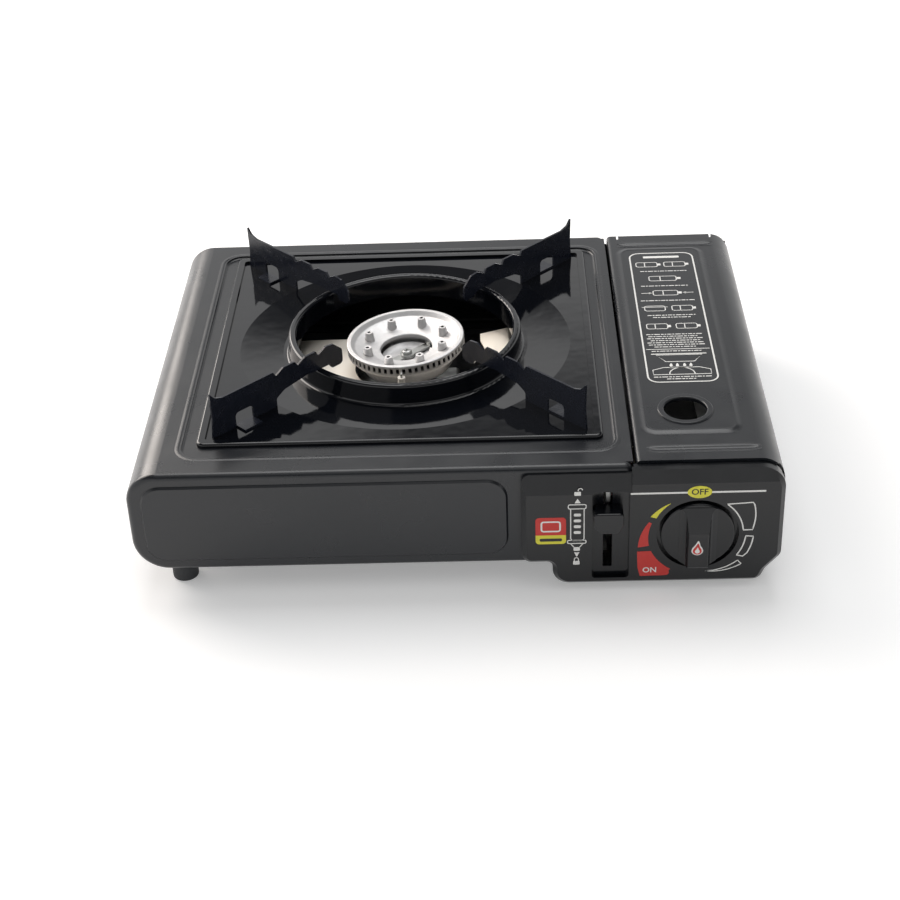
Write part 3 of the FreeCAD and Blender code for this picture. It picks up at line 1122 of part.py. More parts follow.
def slider_guide():
    """Channel on the front panel in which the slider runs up and down."""
    half = SLIDER_SHEET / 2 + RUN_CLEARANCE
    low = BAY_BOTTOM_Z + SHEET
    block = box(LEVER_X - half - 2, SLIDER_BACK - 4.5, low, LEVER_X + half + 2, SLIDER_BACK + 3,
                CHANNEL_TOP_Z)
    track = box(LEVER_X - half, SLIDER_BACK - 7, low + 2, LEVER_X + half, SLIDER_BACK + RUN_CLEARANCE,
                CHANNEL_TOP_Z + PAST)
    foot = box(LEVER_X - half - 14, SLIDER_BACK - 4.5, low, LEVER_X + half + 2, SLIDER_BACK + 3, low + 1.6)
    return fused([block, foot]).cut(track)


def canister_carrier():
    """Sled under the canister with a rear stop and an arm to the lever's slider."""
    low = BAY_BOTTOM_Z + SHEET
    z0 = low + 0.6
    z1 = z0 + CARRIER_SHEET
    back = BODY_BACK - SHEET - 16
    rails = box(CANISTER_X - CARRIER_HALF, POCKET_BACK - 2, z0, CANISTER_X + CARRIER_HALF, back, z1)
    window = box(CANISTER_X - 12, POCKET_BACK + 16, z0 - PAST, CANISTER_X + 12, back - 20, z1 + PAST)
    rails = rails.cut(window)
    plate = oblong(CANISTER_X - CARRIER_HALF, z0, CANISTER_X + CARRIER_HALF, CANISTER_Z - 2.5, 5)
    stop = prism(plate, "Y", back, back + CARRIER_SHEET)
    foot = box(CANISTER_X - CARRIER_HALF, back - 2, z0, CANISTER_X + CARRIER_HALF, back + CARRIER_SHEET, z1)
    arm_x = LEVER_X + SLIDER_SHEET / 2 + 4
    arm = box(arm_x, FOLLOWER_Y - 5, z0, CANISTER_X - 15, FOLLOWER_Y + 5, z1)
    neck = box(CANISTER_X - CARRIER_HALF, FOLLOWER_Y - 5, z0, CANISTER_X - 9, POCKET_BACK + PAST, z1)
    post = box(arm_x, FOLLOWER_Y - 5, z0, arm_x + CARRIER_SHEET, FOLLOWER_Y + 5, FOLLOWER_Z + 5)
    pin = rod((LEVER_X - SLIDER_SHEET / 2 - 1.5, FOLLOWER_Y, FOLLOWER_Z),
              (arm_x + CARRIER_SHEET / 2, FOLLOWER_Y, FOLLOWER_Z), FOLLOWER_R)
    return fused([rails, stop, foot, arm, neck, post, pin])


# Feet and fasteners

def tall_feet():
    feet = []
    for y in (FOOT_FRONT_Y, FOOT_BACK_Y):
        pad = rod((FOOT_X, y, 0), (FOOT_X, y, CASE_BOTTOM_Z), FOOT_R)
        pad = pad.makeFillet(1.0, [e for e in pad.Edges if e.BoundBox.ZMax < 1e-4])
        stem = rod((FOOT_X, y, CASE_BOTTOM_Z - PAST), (FOOT_X, y, CASE_BOTTOM_Z + SHEET + 2), FOOT_R / 2)
        head = Part.makeCone(FOOT_R * 0.65, FOOT_R * 0.35, 3, V(FOOT_X, y, CASE_BOTTOM_Z + SHEET))
        feet.append(fused([pad, stem, head]))
    return Part.makeCompound(feet)


def short_feet():
    feet = []
    for x in (PAD_X, PAD_LEFT_X):
        for y in (PAD_FRONT_Y, PAD_BACK_Y):
            pad = rod((x, y, 0), (x, y, BAY_BOTTOM_Z), PAD_R)
            stem = rod((x, y, BAY_BOTTOM_Z - PAST), (x, y, BAY_BOTTOM_Z + SHEET + 0.2), PAD_R / 2)
            feet.append(fused([pad, stem]))
    return Part.makeCompound(feet)


def rear_screws():
    screws = []
    for x in (FIELD_RIGHT + 14, COVER_RIGHT - 14):
        for z in (CASE_BOTTOM_Z + 14, TOP_Z - 14):
            head = rod((x, BODY_BACK, z), (x, BODY_BACK + FIELD_RISE, z), SCREW_HEAD_R)
            head = head.makeFillet(FIELD_RISE * 0.7, edges_at_y(head, BODY_BACK + FIELD_RISE))
            cross = fused([box(x - 2, BODY_BACK + 0.4, z - 0.4, x + 2, BODY_BACK + 3, z + 0.4),
                           box(x - 0.4, BODY_BACK + 0.4, z - 2, x + 0.4, BODY_BACK + 3, z + 2)])
            screws.append(head.cut(cross))
    return Part.makeCompound(screws)


def panel_screws():
    screws = []
    for x, z in panel_lugs():
        screws.append(rod((x, PANEL_FACE + PANEL_WALL, z), (x, BAY_FRONT + PAST, z), LUG_BORE_R))
    return Part.makeCompound(screws)


PIECES = {
    "top_cover": top_cover, "lower_case": lower_case, "front_panel": front_panel, "rear_panel": rear_panel,
    "canister_bay": canister_bay, "lid_hinge_pin": lid_hinge_pin, "canister_lid": canister_lid,
    "drip_pan": drip_pan, "burner_head": burner_head, "burner_base": burner_base,
    "burner_strap": burner_strap, "burner_screw": burner_screw, "burner_bracket": burner_bracket,
    "reflector_plate": reflector_plate,
    "ignition_electrode": ignition_electrode, "electrode_needle": electrode_needle,
    "ignition_lead": ignition_lead, "piezo_igniter": piezo_igniter, "piezo_plunger": piezo_plunger,
    "igniter_cam": igniter_cam, "regulator_body": regulator_body, "regulator_cap": regulator_cap,
    "regulator_diaphragm": regulator_diaphragm, "regulator_spring": regulator_spring, "gas_pipe": gas_pipe,
    "gas_jet": gas_jet, "air_shutter": air_shutter, "canister_seal": canister_seal,
    "canister_guide": canister_guide, "control_panel": control_panel, "control_knob": control_knob,
    "valve_spindle": valve_spindle, "lock_lever": lock_lever, "lever_slider": lever_slider,
    "slider_guide": slider_guide, "canister_carrier": canister_carrier, "tall_feet": tall_feet,
    "short_feet": short_feet, "rear_screws": rear_screws, "panel_screws": panel_screws,
}
SUPPORTS = {"support_rear_right": 45, "support_rear_left": 135, "support_front_left": 225,
            "support_front_right": 315}


def main():
    os.makedirs("parts", exist_ok=True)
    for name, make in PIECES.items():
        keep(name, make())
    for name, angle in SUPPORTS.items():
        keep(name, pan_support(angle))


main()
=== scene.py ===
"""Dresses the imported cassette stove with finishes, prints and pressed detail, and sets its studio."""

from itertools import cycle
from math import atan2, cos, pi, radians, sin

import bmesh
import bpy
from mathutils import Matrix, Vector
from mathutils.geometry import tessellate_polygon


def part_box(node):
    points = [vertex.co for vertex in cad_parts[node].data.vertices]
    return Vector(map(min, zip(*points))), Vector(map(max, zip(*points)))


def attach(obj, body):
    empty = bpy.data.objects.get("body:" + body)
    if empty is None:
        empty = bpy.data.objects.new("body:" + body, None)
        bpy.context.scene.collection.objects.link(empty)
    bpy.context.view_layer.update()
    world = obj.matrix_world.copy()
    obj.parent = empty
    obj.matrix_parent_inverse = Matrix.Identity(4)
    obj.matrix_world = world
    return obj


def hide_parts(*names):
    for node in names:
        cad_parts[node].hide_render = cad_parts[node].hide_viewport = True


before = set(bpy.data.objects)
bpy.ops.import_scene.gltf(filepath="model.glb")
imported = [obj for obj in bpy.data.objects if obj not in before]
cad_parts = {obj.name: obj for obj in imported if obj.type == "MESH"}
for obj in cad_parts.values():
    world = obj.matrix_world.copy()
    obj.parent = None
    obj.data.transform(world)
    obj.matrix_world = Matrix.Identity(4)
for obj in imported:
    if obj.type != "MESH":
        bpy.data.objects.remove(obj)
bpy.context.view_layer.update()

bl_info = {
    "name": "Cassette stove dressing",
    "version": (1, 0, 0),
    "blender": (4, 5, 0),
    "location": "3D View > Sidebar > Stove",
    "description": "Builds the visual pieces of a butane cassette stove around its CAD frame",
    "category": "Object",
}

MM = 0.001


def linear(hex_colour):
    """An sRGB hex colour as linear red, green and blue."""
    channels = [int(hex_colour[i:i + 2], 16) / 255 for i in (1, 3, 5)]
    return tuple(c / 12.92 if c <= 0.04045 else ((c + 0.055) / 1.055) ** 2.4 for c in channels)


def colour(name, description, hex_colour):
    return bpy.props.FloatVectorProperty(name=name, description=description, subtype="COLOR", size=3,
                                         min=0, max=1, default=linear(hex_colour))


def length(name, description, millimetres):
    return bpy.props.FloatProperty(name=name, description=description, unit="LENGTH", min=0,
                                   default=millimetres * MM)


class StoveColours(bpy.types.PropertyGroup):
    """The finishes' own colours."""

    coat: colour("Powder coat", "Grey-black powder coat of the body sheets", "#14171c")
    enamel: colour("Enamel", "Black glass enamel of the drip pan", "#0a0c11")
    support: colour("Support enamel", "Thin black enamel of the pan supports", "#1a1d26")
    moulded: colour("Moulded black", "Black ABS of the panel, knob and lever", "#080a0e")
    rubber: colour("Rubber", "Rubber of the feet", "#2b2d30")
    bright: colour("Bright plate", "Bright tinplate of the reflector", "#f4eee4")
    cast: colour("Cast alloy", "Die-cast alloy of the burner", "#d0cfcf")
    zinc: colour("Zinc", "Zinc plating of the small steel parts", "#b3b4b2")
    brass: colour("Brass", "Turned brass of the jet", "#c9a35a")
    ceramic: colour("Ceramic", "Glazed white ceramic of the electrode", "#e6e1d8")
    lead: colour("Lead", "Red silicone jacket of the ignition lead", "#8e2a24")
    nitrile: colour("Nitrile", "Black nitrile of the seals", "#1b1b1c")
    white_ink: colour("White ink", "Printed white lines and labels", "#e4e4e1")
    red_ink: colour("Red ink", "Printed red of the flame scale", "#c2302a")
    yellow_ink: colour("Yellow ink", "Printed yellow of the off mark", "#d9d340")
    black_ink: colour("Black ink", "Printed black letters and bars", "#17181a")
    floor: colour("Floor", "Pale sweep under and behind the stove", "#f2f2f2")


class StoveSizes(bpy.types.PropertyGroup):
    """Sizes of the detail that the dressing adds."""

    print_thickness: length("Print thickness", "How far a printed mark stands off its face", 0.06)
    line_width: length("Line width", "Width of the printed hairlines", 0.7)
    rule_width: length("Rule width", "Width of the white rule across the panel", 1.1)


class StoveStudio(bpy.types.PropertyGroup):
    """Camera and light of the stage."""

    camera_place: bpy.props.FloatVectorProperty(
        name="Camera place", description="Where the camera stands", subtype="TRANSLATION", unit="LENGTH",
        size=3, default=(0.02641, -0.907655, 0.59468))
    camera_yaw: bpy.props.FloatProperty(
        name="Yaw", description="Turn of the camera about the vertical", subtype="ANGLE",
        default=radians(2.0))
    camera_pitch: bpy.props.FloatProperty(
        name="Pitch", description="How far the camera looks down", subtype="ANGLE", default=radians(32.98))
    camera_roll: bpy.props.FloatProperty(
        name="Roll", description="Tilt of the picture", subtype="ANGLE", default=radians(-2.45))
    lens: bpy.props.FloatProperty(
        name="Lens", description="Focal length on a 36 mm sensor", unit="CAMERA", default=72.98)
    sky_strength: bpy.props.FloatProperty(
        name="Sky strength", description="Strength of the light from the room all round", default=0.92, min=0)
    window_power: bpy.props.FloatProperty(
        name="Window power", description="Power of the large softbox behind and to the left", unit="POWER",
        default=39.0, min=0)
    ceiling_power: bpy.props.FloatProperty(
        name="Ceiling power", description="Power of the softbox overhead", unit="POWER", default=14.0, min=0)
    floor_lift: bpy.props.FloatProperty(
        name="Floor lift", description="How much paler the floor shows than it is lit", default=0.26, min=0)


def colours():
    return bpy.context.scene.stove_colours


def sizes():
    return bpy.context.scene.stove_sizes


def studio():
    return bpy.context.scene.stove_studio


# Finishes

MIX_FACTOR = 0
MIX_FIRST = 6
MIX_SECOND = 7
MIXED = 2
NOISE_LOW = 0.3
NOISE_HIGH = 0.7


def add_node(tree, kind, settings=None, inputs=None):
    """Adds one node with its settings, and fills or links its inputs."""
    node = tree.nodes.new(kind)
    for name, value in (settings or {}).items():
        setattr(node, name, value)
    for name, value in (inputs or {}).items():
        if isinstance(value, bpy.types.NodeSocket):
            tree.links.new(value, node.inputs[name])
        else:
            node.inputs[name].default_value = value
    return node


def rgba(value):
    return (*value, 1.0)


def shade(value, factor):
    """The colour made lighter or darker by a factor."""
    return tuple(min(1.0, channel * factor) for channel in value)


def new_finish(name):
    """A new material, with its node tree and its shader."""
    material = bpy.data.materials.new(name)
    material.use_nodes = True
    tree = material.node_tree
    return material, tree, tree.nodes["Principled BSDF"]


def at_scale(tree, per_metre):
    """Object coordinates scaled so that one unit of pattern repeats this often in a metre."""
    place = add_node(tree, "ShaderNodeTexCoord")
    return add_node(tree, "ShaderNodeMapping", inputs={"Vector": place.outputs["Object"],
                                                       "Scale": (per_metre, per_metre, per_metre)})


def noise(tree, grain_mm, detail=2.0, roughness=0.5):
    """Noise whose lumps are this many millimetres across."""
    place = at_scale(tree, 1 / (grain_mm * MM))
    return add_node(tree, "ShaderNodeTexNoise", inputs={"Vector": place.outputs["Vector"], "Scale": 1.0,
                                                        "Detail": detail, "Roughness": roughness})


def mottled(tree, value, spread, grain_mm):
    """The colour wandering lighter and darker over lumps of this size."""
    lumps = noise(tree, grain_mm)
    mix = add_node(tree, "ShaderNodeMix", {"data_type": "RGBA"}, {MIX_FACTOR: lumps.outputs["Fac"]})
    mix.inputs[MIX_FIRST].default_value = rgba(shade(value, 1 - spread))
    mix.inputs[MIX_SECOND].default_value = rgba(shade(value, 1 + spread))
    return mix.outputs[MIXED]


def wandering(tree, low, high, grain_mm):
    """A number wandering between low and high over lumps of this size."""
    lumps = noise(tree, grain_mm)
    spread = add_node(tree, "ShaderNodeMapRange", inputs={
        "Value": lumps.outputs["Fac"], "From Min": NOISE_LOW, "From Max": NOISE_HIGH,
        "To Min": low, "To Max": high})
    return spread.outputs["Result"]


def embossed(tree, shader, pattern, strength, depth_mm):
    """Bumps the shader's surface by a pattern, this many millimetres deep."""
    bump = add_node(tree, "ShaderNodeBump", inputs={"Height": pattern.outputs["Fac"], "Strength": strength,
                                                    "Distance": depth_mm * MM})
    tree.links.new(bump.outputs["Normal"], shader.inputs["Normal"])


def powder_coated_steel():
    # Powder coat, sprayed and baked on steel: an even satin grey-black with orange peel. The peel is about
    # 0.8 mm on the real sheet and is drawn at 1.4 mm so that it shows.
    material, tree, shader = new_finish("powder_coated_steel")
    tree.links.new(mottled(tree, colours().coat, 0.10, 38), shader.inputs["Base Color"])
    tree.links.new(wandering(tree, 0.26, 0.34, 22), shader.inputs["Roughness"])
    shader.inputs["IOR"].default_value = 1.52
    shader.inputs["Coat Weight"].default_value = 0.10
    shader.inputs["Coat Roughness"].default_value = 0.22
    embossed(tree, shader, noise(tree, 1.4, detail=3), 0.16, 0.12)
    return material


def fired_enamel():
    # Vitreous enamel, dipped and fired on pressed steel: deep glossy black that mirrors the studio, with
    # the slow waviness of flowed glass, about 9 mm from crest to crest.
    material, tree, shader = new_finish("fired_black_enamel")
    tree.links.new(mottled(tree, colours().enamel, 0.12, 30), shader.inputs["Base Color"])
    tree.links.new(wandering(tree, 0.05, 0.09, 16), shader.inputs["Roughness"])
    shader.inputs["IOR"].default_value = 1.55
    embossed(tree, shader, noise(tree, 9, detail=1), 0.14, 0.35)
    return material


def support_enamel():
    # Thin black enamel on stamped steel: glossy on the faces, duller where it draws off the cut edges.
    material, tree, shader = new_finish("thin_black_enamel")
    tree.links.new(mottled(tree, colours().support, 0.18, 7), shader.inputs["Base Color"])
    tree.links.new(wandering(tree, 0.16, 0.30, 5), shader.inputs["Roughness"])
    shader.inputs["IOR"].default_value = 1.5
    embossed(tree, shader, noise(tree, 3.0), 0.20, 0.15)
    return material


def rolled_tinplate():
    # Bright tinplate, cold rolled: a dull bright sheet broken by fine rolling lines along X. The lines are
    # 0.05 mm apart on the real sheet and are drawn at 0.6 mm so that they show.
    material, tree, shader = new_finish("rolled_tinplate")
    tree.links.new(mottled(tree, colours().bright, 0.04, 20), shader.inputs["Base Color"])
    shader.inputs["Metallic"].default_value = 1.0
    tree.links.new(wandering(tree, 0.50, 0.62, 12), shader.inputs["Roughness"])
    place = add_node(tree, "ShaderNodeTexCoord")
    long = add_node(tree, "ShaderNodeMapping", inputs={
        "Vector": place.outputs["Object"], "Scale": (1 / (30 * MM), 1 / (0.6 * MM), 1 / (0.6 * MM))})
    lines = add_node(tree, "ShaderNodeTexNoise", inputs={"Vector": long.outputs["Vector"], "Scale": 1.0})
    embossed(tree, shader, lines, 0.12, 0.05)
    return material


def die_cast_alloy():
    # Aluminium alloy, die cast and tumbled: a dull light grey with a sandy skin. The grains are 0.3 mm on
    # the real casting and are drawn at 0.7 mm so that they show.
    # Painted shade: an occlusion mask darkens slots and bores narrower than about 2 mm to near black.
    material, tree, shader = new_finish("die_cast_alloy")
    narrow = add_node(tree, "ShaderNodeAmbientOcclusion", {"samples": 8}, {"Distance": 2.2 * MM})
    unshaded = add_node(tree, "ShaderNodeMapRange", inputs={
        "Value": narrow.outputs["AO"], "From Min": 0.25, "From Max": 0.62, "To Min": 0.0, "To Max": 1.0})
    # Painted shade: near-black laid in where the occlusion mask finds narrow slots and bores.
    painted_shade = add_node(tree, "ShaderNodeMix", {"data_type": "RGBA"}, {MIX_FACTOR: unshaded.outputs["Result"]})
    painted_shade.inputs[MIX_FIRST].default_value = rgba(shade(colours().cast, 0.03))
    tree.links.new(mottled(tree, colours().cast, 0.10, 3.5), painted_shade.inputs[MIX_SECOND])
    tree.links.new(painted_shade.outputs[MIXED], shader.inputs["Base Color"])
    shader.inputs["Metallic"].default_value = 1.0
    tree.links.new(wandering(tree, 0.46, 0.60, 2.5), shader.inputs["Roughness"])
    embossed(tree, shader, noise(tree, 0.7, detail=4, roughness=0.6), 0.35, 0.15)
    return material


def zinc_plated_steel():
    # Zinc plate, barrelled and passivated: a soft grey metal with a faint cloud where it was rinsed.
    material, tree, shader = new_finish("zinc_plated_steel")
    tree.links.new(mottled(tree, colours().zinc, 0.12, 9), shader.inputs["Base Color"])
    shader.inputs["Metallic"].default_value = 1.0
    tree.links.new(wandering(tree, 0.28, 0.44, 6), shader.inputs["Roughness"])
    embossed(tree, shader, noise(tree, 0.8), 0.10, 0.05)
    return material


def turned_brass():
    # Brass, turned and left bare: a warm metal, faintly grained at 0.4 mm by the tool.
    material, tree, shader = new_finish("turned_brass")
    tree.links.new(mottled(tree, colours().brass, 0.08, 4), shader.inputs["Base Color"])
    shader.inputs["Metallic"].default_value = 1.0
    tree.links.new(wandering(tree, 0.22, 0.34, 3), shader.inputs["Roughness"])
    embossed(tree, shader, noise(tree, 0.4), 0.15, 0.04)
    return material


def moulded(name, value, low, high, grain_mm, depth_mm, ior=1.53):
    """A moulded skin: its colour, its roughness from low to high, and the grain of its tool."""
    material, tree, shader = new_finish(name)
    tree.links.new(mottled(tree, value, 0.06, 24), shader.inputs["Base Color"])
    tree.links.new(wandering(tree, low, high, 14), shader.inputs["Roughness"])
    shader.inputs["IOR"].default_value = ior
    embossed(tree, shader, noise(tree, grain_mm, detail=3), 0.25, depth_mm)
    return material


def moulded_abs():
    # Black ABS, injection moulded in a spark-eroded tool: glossy, with a faint even grain of 0.9 mm.
    return moulded("moulded_black_abs", colours().moulded, 0.18, 0.26, 0.9, 0.03, ior=1.5)


def moulded_rubber():
    # Rubber, compression moulded: a matt dark grey with a dusty sheen and a grain of 1.1 mm.
    return moulded("moulded_rubber", colours().rubber, 0.62, 0.80, 1.1, 0.10, ior=1.52)


def moulded_nitrile():
    # Nitrile, compression moulded: a smooth black with a soft gloss.
    return moulded("moulded_nitrile", colours().nitrile, 0.40, 0.52, 1.3, 0.03, ior=1.52)


def glazed_ceramic():
    # Steatite ceramic, fired and glazed: creamy white and glossy, with a faint speckle.
    return moulded("glazed_ceramic", colours().ceramic, 0.12, 0.22, 0.8, 0.02, ior=1.6)


def silicone_jacket():
    # Silicone rubber, extruded over the lead's core: a soft red with a waxy gloss.
    return moulded("extruded_silicone", colours().lead, 0.38, 0.50, 1.0, 0.03, ior=1.41)


def screen_print(name, value):
    # Ink, screen printed and cured: flat colour with a slightly ragged gloss over the moulding's grain.
    return moulded(name, value, 0.34, 0.48, 0.9, 0.04, ior=1.5)


FINISHES = {}


def finish_named(name):
    """The finish of this name, made when it is first asked for."""
    makers = {
        "coat": powder_coated_steel, "enamel": fired_enamel, "support": support_enamel,
        "bright": rolled_tinplate, "cast": die_cast_alloy, "zinc": zinc_plated_steel,
        "brass": turned_brass, "abs": moulded_abs, "rubber": moulded_rubber,
        "nitrile": moulded_nitrile, "ceramic": glazed_ceramic, "lead": silicone_jacket,
        "white_ink": lambda: screen_print("printed_white_ink", colours().white_ink),
        "red_ink": lambda: screen_print("printed_red_ink", colours().red_ink),
        "yellow_ink": lambda: screen_print("printed_yellow_ink", colours().yellow_ink),
        "black_ink": lambda: screen_print("printed_black_ink", colours().black_ink),
    }
    if name not in FINISHES:
        FINISHES[name] = makers[name]()
    return FINISHES[name]


# Shapes shared by the prints, in millimetres

CAPITAL_SHARE = 0.72
LETTER_SWELL = 0.02
LETTER_STEPS = 3
NEAR_SHARE = 0.75
FAR_SHARE = 1 - NEAR_SHARE


def arc(centre, radius, first, last, count=24):
    """Points round a centre from one angle to another, in degrees; radius may be a (first, last) pair."""
    start, end = radius if isinstance(radius, tuple) else (radius, radius)
    points = []
    for i in range(count + 1):
        share = i / count
        angle = radians(first + (last - first) * share)
        r = start + (end - start) * share
        points.append((centre[0] + r * cos(angle), centre[1] + r * sin(angle)))
    return points


def softened(corners, rounds=3):
    """A closed outline with its corners cut again and again until they are round."""
    for _ in range(rounds):
        cut = []
        for (u0, v0), (u1, v1) in zip(corners, corners[1:] + corners[:1]):
            cut.append((NEAR_SHARE * u0 + FAR_SHARE * u1, NEAR_SHARE * v0 + FAR_SHARE * v1))
            cut.append((FAR_SHARE * u0 + NEAR_SHARE * u1, FAR_SHARE * v0 + NEAR_SHARE * v1))
        corners = cut
    return corners


def rounded_box(u0, v0, u1, v1, r, per_corner=6):
    """Outline of a rectangle with round corners, anticlockwise."""
    outline = []
    corners = ((u1 - r, v1 - r), (u0 + r, v1 - r), (u0 + r, v0 + r), (u1 - r, v0 + r))
    for corner, centre in enumerate(corners):
        outline += arc(centre, r, 90 * corner, 90 * (corner + 1), per_corner)
    return outline


def put(name, points, faces, finish, body, smooth=False):
    """A mesh piece from points in metres that rides on a body of the frame."""
    mesh = bpy.data.meshes.new(name)
    mesh.from_pydata(points, [], faces)
    mesh.materials.append(finish_named(finish))
    mesh.shade_smooth() if smooth else mesh.shade_flat()
    piece = bpy.data.objects.new(name, mesh)
    bpy.context.collection.objects.link(piece)
    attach(piece, body)
    return piece


class Print:
    """Printed shapes of one colour, gathered in millimetres across a face."""

    def __init__(self):
        self.points = []
        self.faces = []

    def area(self, outline):
        start = len(self.points)
        corners = [Vector((u, v, 0)) for u, v in outline]
        for triangle in tessellate_polygon([corners]):
            a, b, c = (corners[i] for i in triangle)
            order = triangle if (b - a).cross(c - a).z > 0 else triangle[::-1]
            self.faces.append([start + i for i in order])
        self.points += outline

    def line(self, path, width, closed=False):
        count = len(path)
        start = len(self.points)
        for i, (u, v) in enumerate(path):
            before = path[i - 1] if closed or i > 0 else path[i]
            after = path[(i + 1) % count] if closed or i < count - 1 else path[i]
            along = atan2(after[1] - before[1], after[0] - before[0])
            side = (-sin(along) * width / 2, cos(along) * width / 2)
            self.points += [(u + side[0], v + side[1]), (u - side[0], v - side[1])]
        for i in range(count if closed else count - 1):
            a = start + 2 * i
            b = start + 2 * ((i + 1) % count)
            self.faces.append([a + 1, b + 1, b, a])

    def letters(self, text, height, centre):
        curve = bpy.data.curves.new(text, "FONT")
        curve.body = text
        curve.size = height / CAPITAL_SHARE
        curve.align_x = "CENTER"
        curve.align_y = "CENTER"
        curve.offset = LETTER_SWELL * height
        curve.resolution_u = LETTER_STEPS
        word = bpy.data.objects.new(text, curve)
        bpy.context.collection.objects.link(word)
        mesh = word.to_mesh()
        start = len(self.points)
        self.points += [(vertex.co.x + centre[0], vertex.co.y + centre[1]) for vertex in mesh.vertices]
        self.faces += [[start + i for i in face.vertices] for face in mesh.polygons]
        word.to_mesh_clear()
        bpy.data.objects.remove(word)
        bpy.data.curves.remove(curve)

    def lay(self, name, place, finish, body):
        """Lays the print on a face; place turns (u, v) millimetres into a point in metres."""
        return put(name, [place(u, v) for u, v in self.points], self.faces, finish, body)


def on_front(node, layer):
    """Place for a print on the foremost face of a node, so many ink layers before it."""
    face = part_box(node)[0].y - layer * sizes().print_thickness
    return lambda u, v: (u * MM, face, v * MM)


def on_panel(layer=1):
    """Place for a print on the control panel's face."""
    return on_front("control_panel", layer)


def on_grip(layer=1):
    """Place for a print on the front of the knob's grip bar."""
    return on_front("control_knob", layer)


def on_lid(layer=1):
    """Place for a print on the raised panel of the lid."""
    top = LID_PANEL_Z * MM + layer * sizes().print_thickness
    return lambda u, v: (u * MM, v * MM, top)


# Prints on the control panel, knob and lid

KNOB_CENTRE = (126.6, 35.6)
PANEL_RULE = (91.3, 160.6, 62.0)
OFF_CENTRE = (126.7, 62.2)
OFF_REACH = (6.3, 3.8)
OFF_LETTERS = 3.6
ON_CENTRE = (102.0, 13.0)
ON_LETTERS = 3.4
FULL_FLAME_FOOT = ((95.2, 25.2), (95.6, 14.8), (97.0, 9.2), (109.8, 9.4))
LOCK_CAP = (59.2, 53.4, 68.4, 56.0)
LOCK_BODY = ((60.4, 53.2), (60.4, 34.4), (61.6, 33.2), (66.2, 33.2), (67.4, 34.4), (67.4, 53.2))
LOCK_RIM = (58.8, 31.4, 68.4, 33.4)
LOCK_NECK = ((60.4, 31.2), (62.2, 28.8), (65.0, 28.8), (66.8, 31.2))
LOCK_TIP = (61.9, 26.6, 65.3, 28.6)
LOCK_UP = ((62.4, 56.9), (65.6, 56.9), (64.0, 59.7))
LOCK_DOWN = ((62.2, 25.6), (63.6, 22.6), (65.0, 25.6))
LOCK_BARS = (49.5, 45.8, 42.1, 38.4)
OPEN_PADLOCK = (64.0, 61.6, 1.4)
SHUT_PADLOCK = (63.4, 17.6, 0.0)
STICKER = (42.1, 58.0)
STICKER_SEAM = 36.9
STICKER_CORNER = 1.9
STICKER_TURNS = ((44.0, 46.2), (56.1, 46.2), (44.0, 33.2), (56.1, 33.2))
STICKER_MARK = (45.2, 39.4, 54.9, 45.4)
STICKER_BAR = (44.2, 33.0, 55.9, 34.9)
FLAME = ((0.3, 9.2), (-0.9, 6.4), (-2.9, 4.0), (-3.2, 1.4), (-1.2, -0.4), (1.2, -0.4), (3.1, 1.4),
         (2.6, 4.2), (1.6, 5.2), (1.2, 7.2))
FLAME_OFFSET = (-0.6, -8.6)
FLAME_RAISE = 1.6
LID_PANEL_Z = 76.9
LID_LABEL = (107.0, 145.5, -47.0, 108.0)
LID_ROWS = ((84.0, 14.0), (65.0, 15.0), (46.6, 16.5), (28.6, 14.0), (26.0, 11.0), (6.0, 16.5),
            (3.6, 15.5), (1.2, 16.5), (-1.2, 14.5), (-3.6, 16.5), (-6.0, 16.0), (-8.4, 13.0),
            (-13.2, 15.0), (-41.6, 16.0), (-43.8, 9.0))
LID_CARTRIDGES = ((-8.5, 92.8, 15), (8.5, 92.8, 15), (0, 74.4, 19), (0, 56.0, 17), (8.0, 37.0, 14),
                  (-8.5, 15.5, 14), (8.5, 15.5, 14))
LID_ARROWS_Y = 56.0
DASHES = (2.4, 1.1, 3.2, 1.6, 0.9)
DASH_HALF = 0.42
DASH_GAP = 0.55


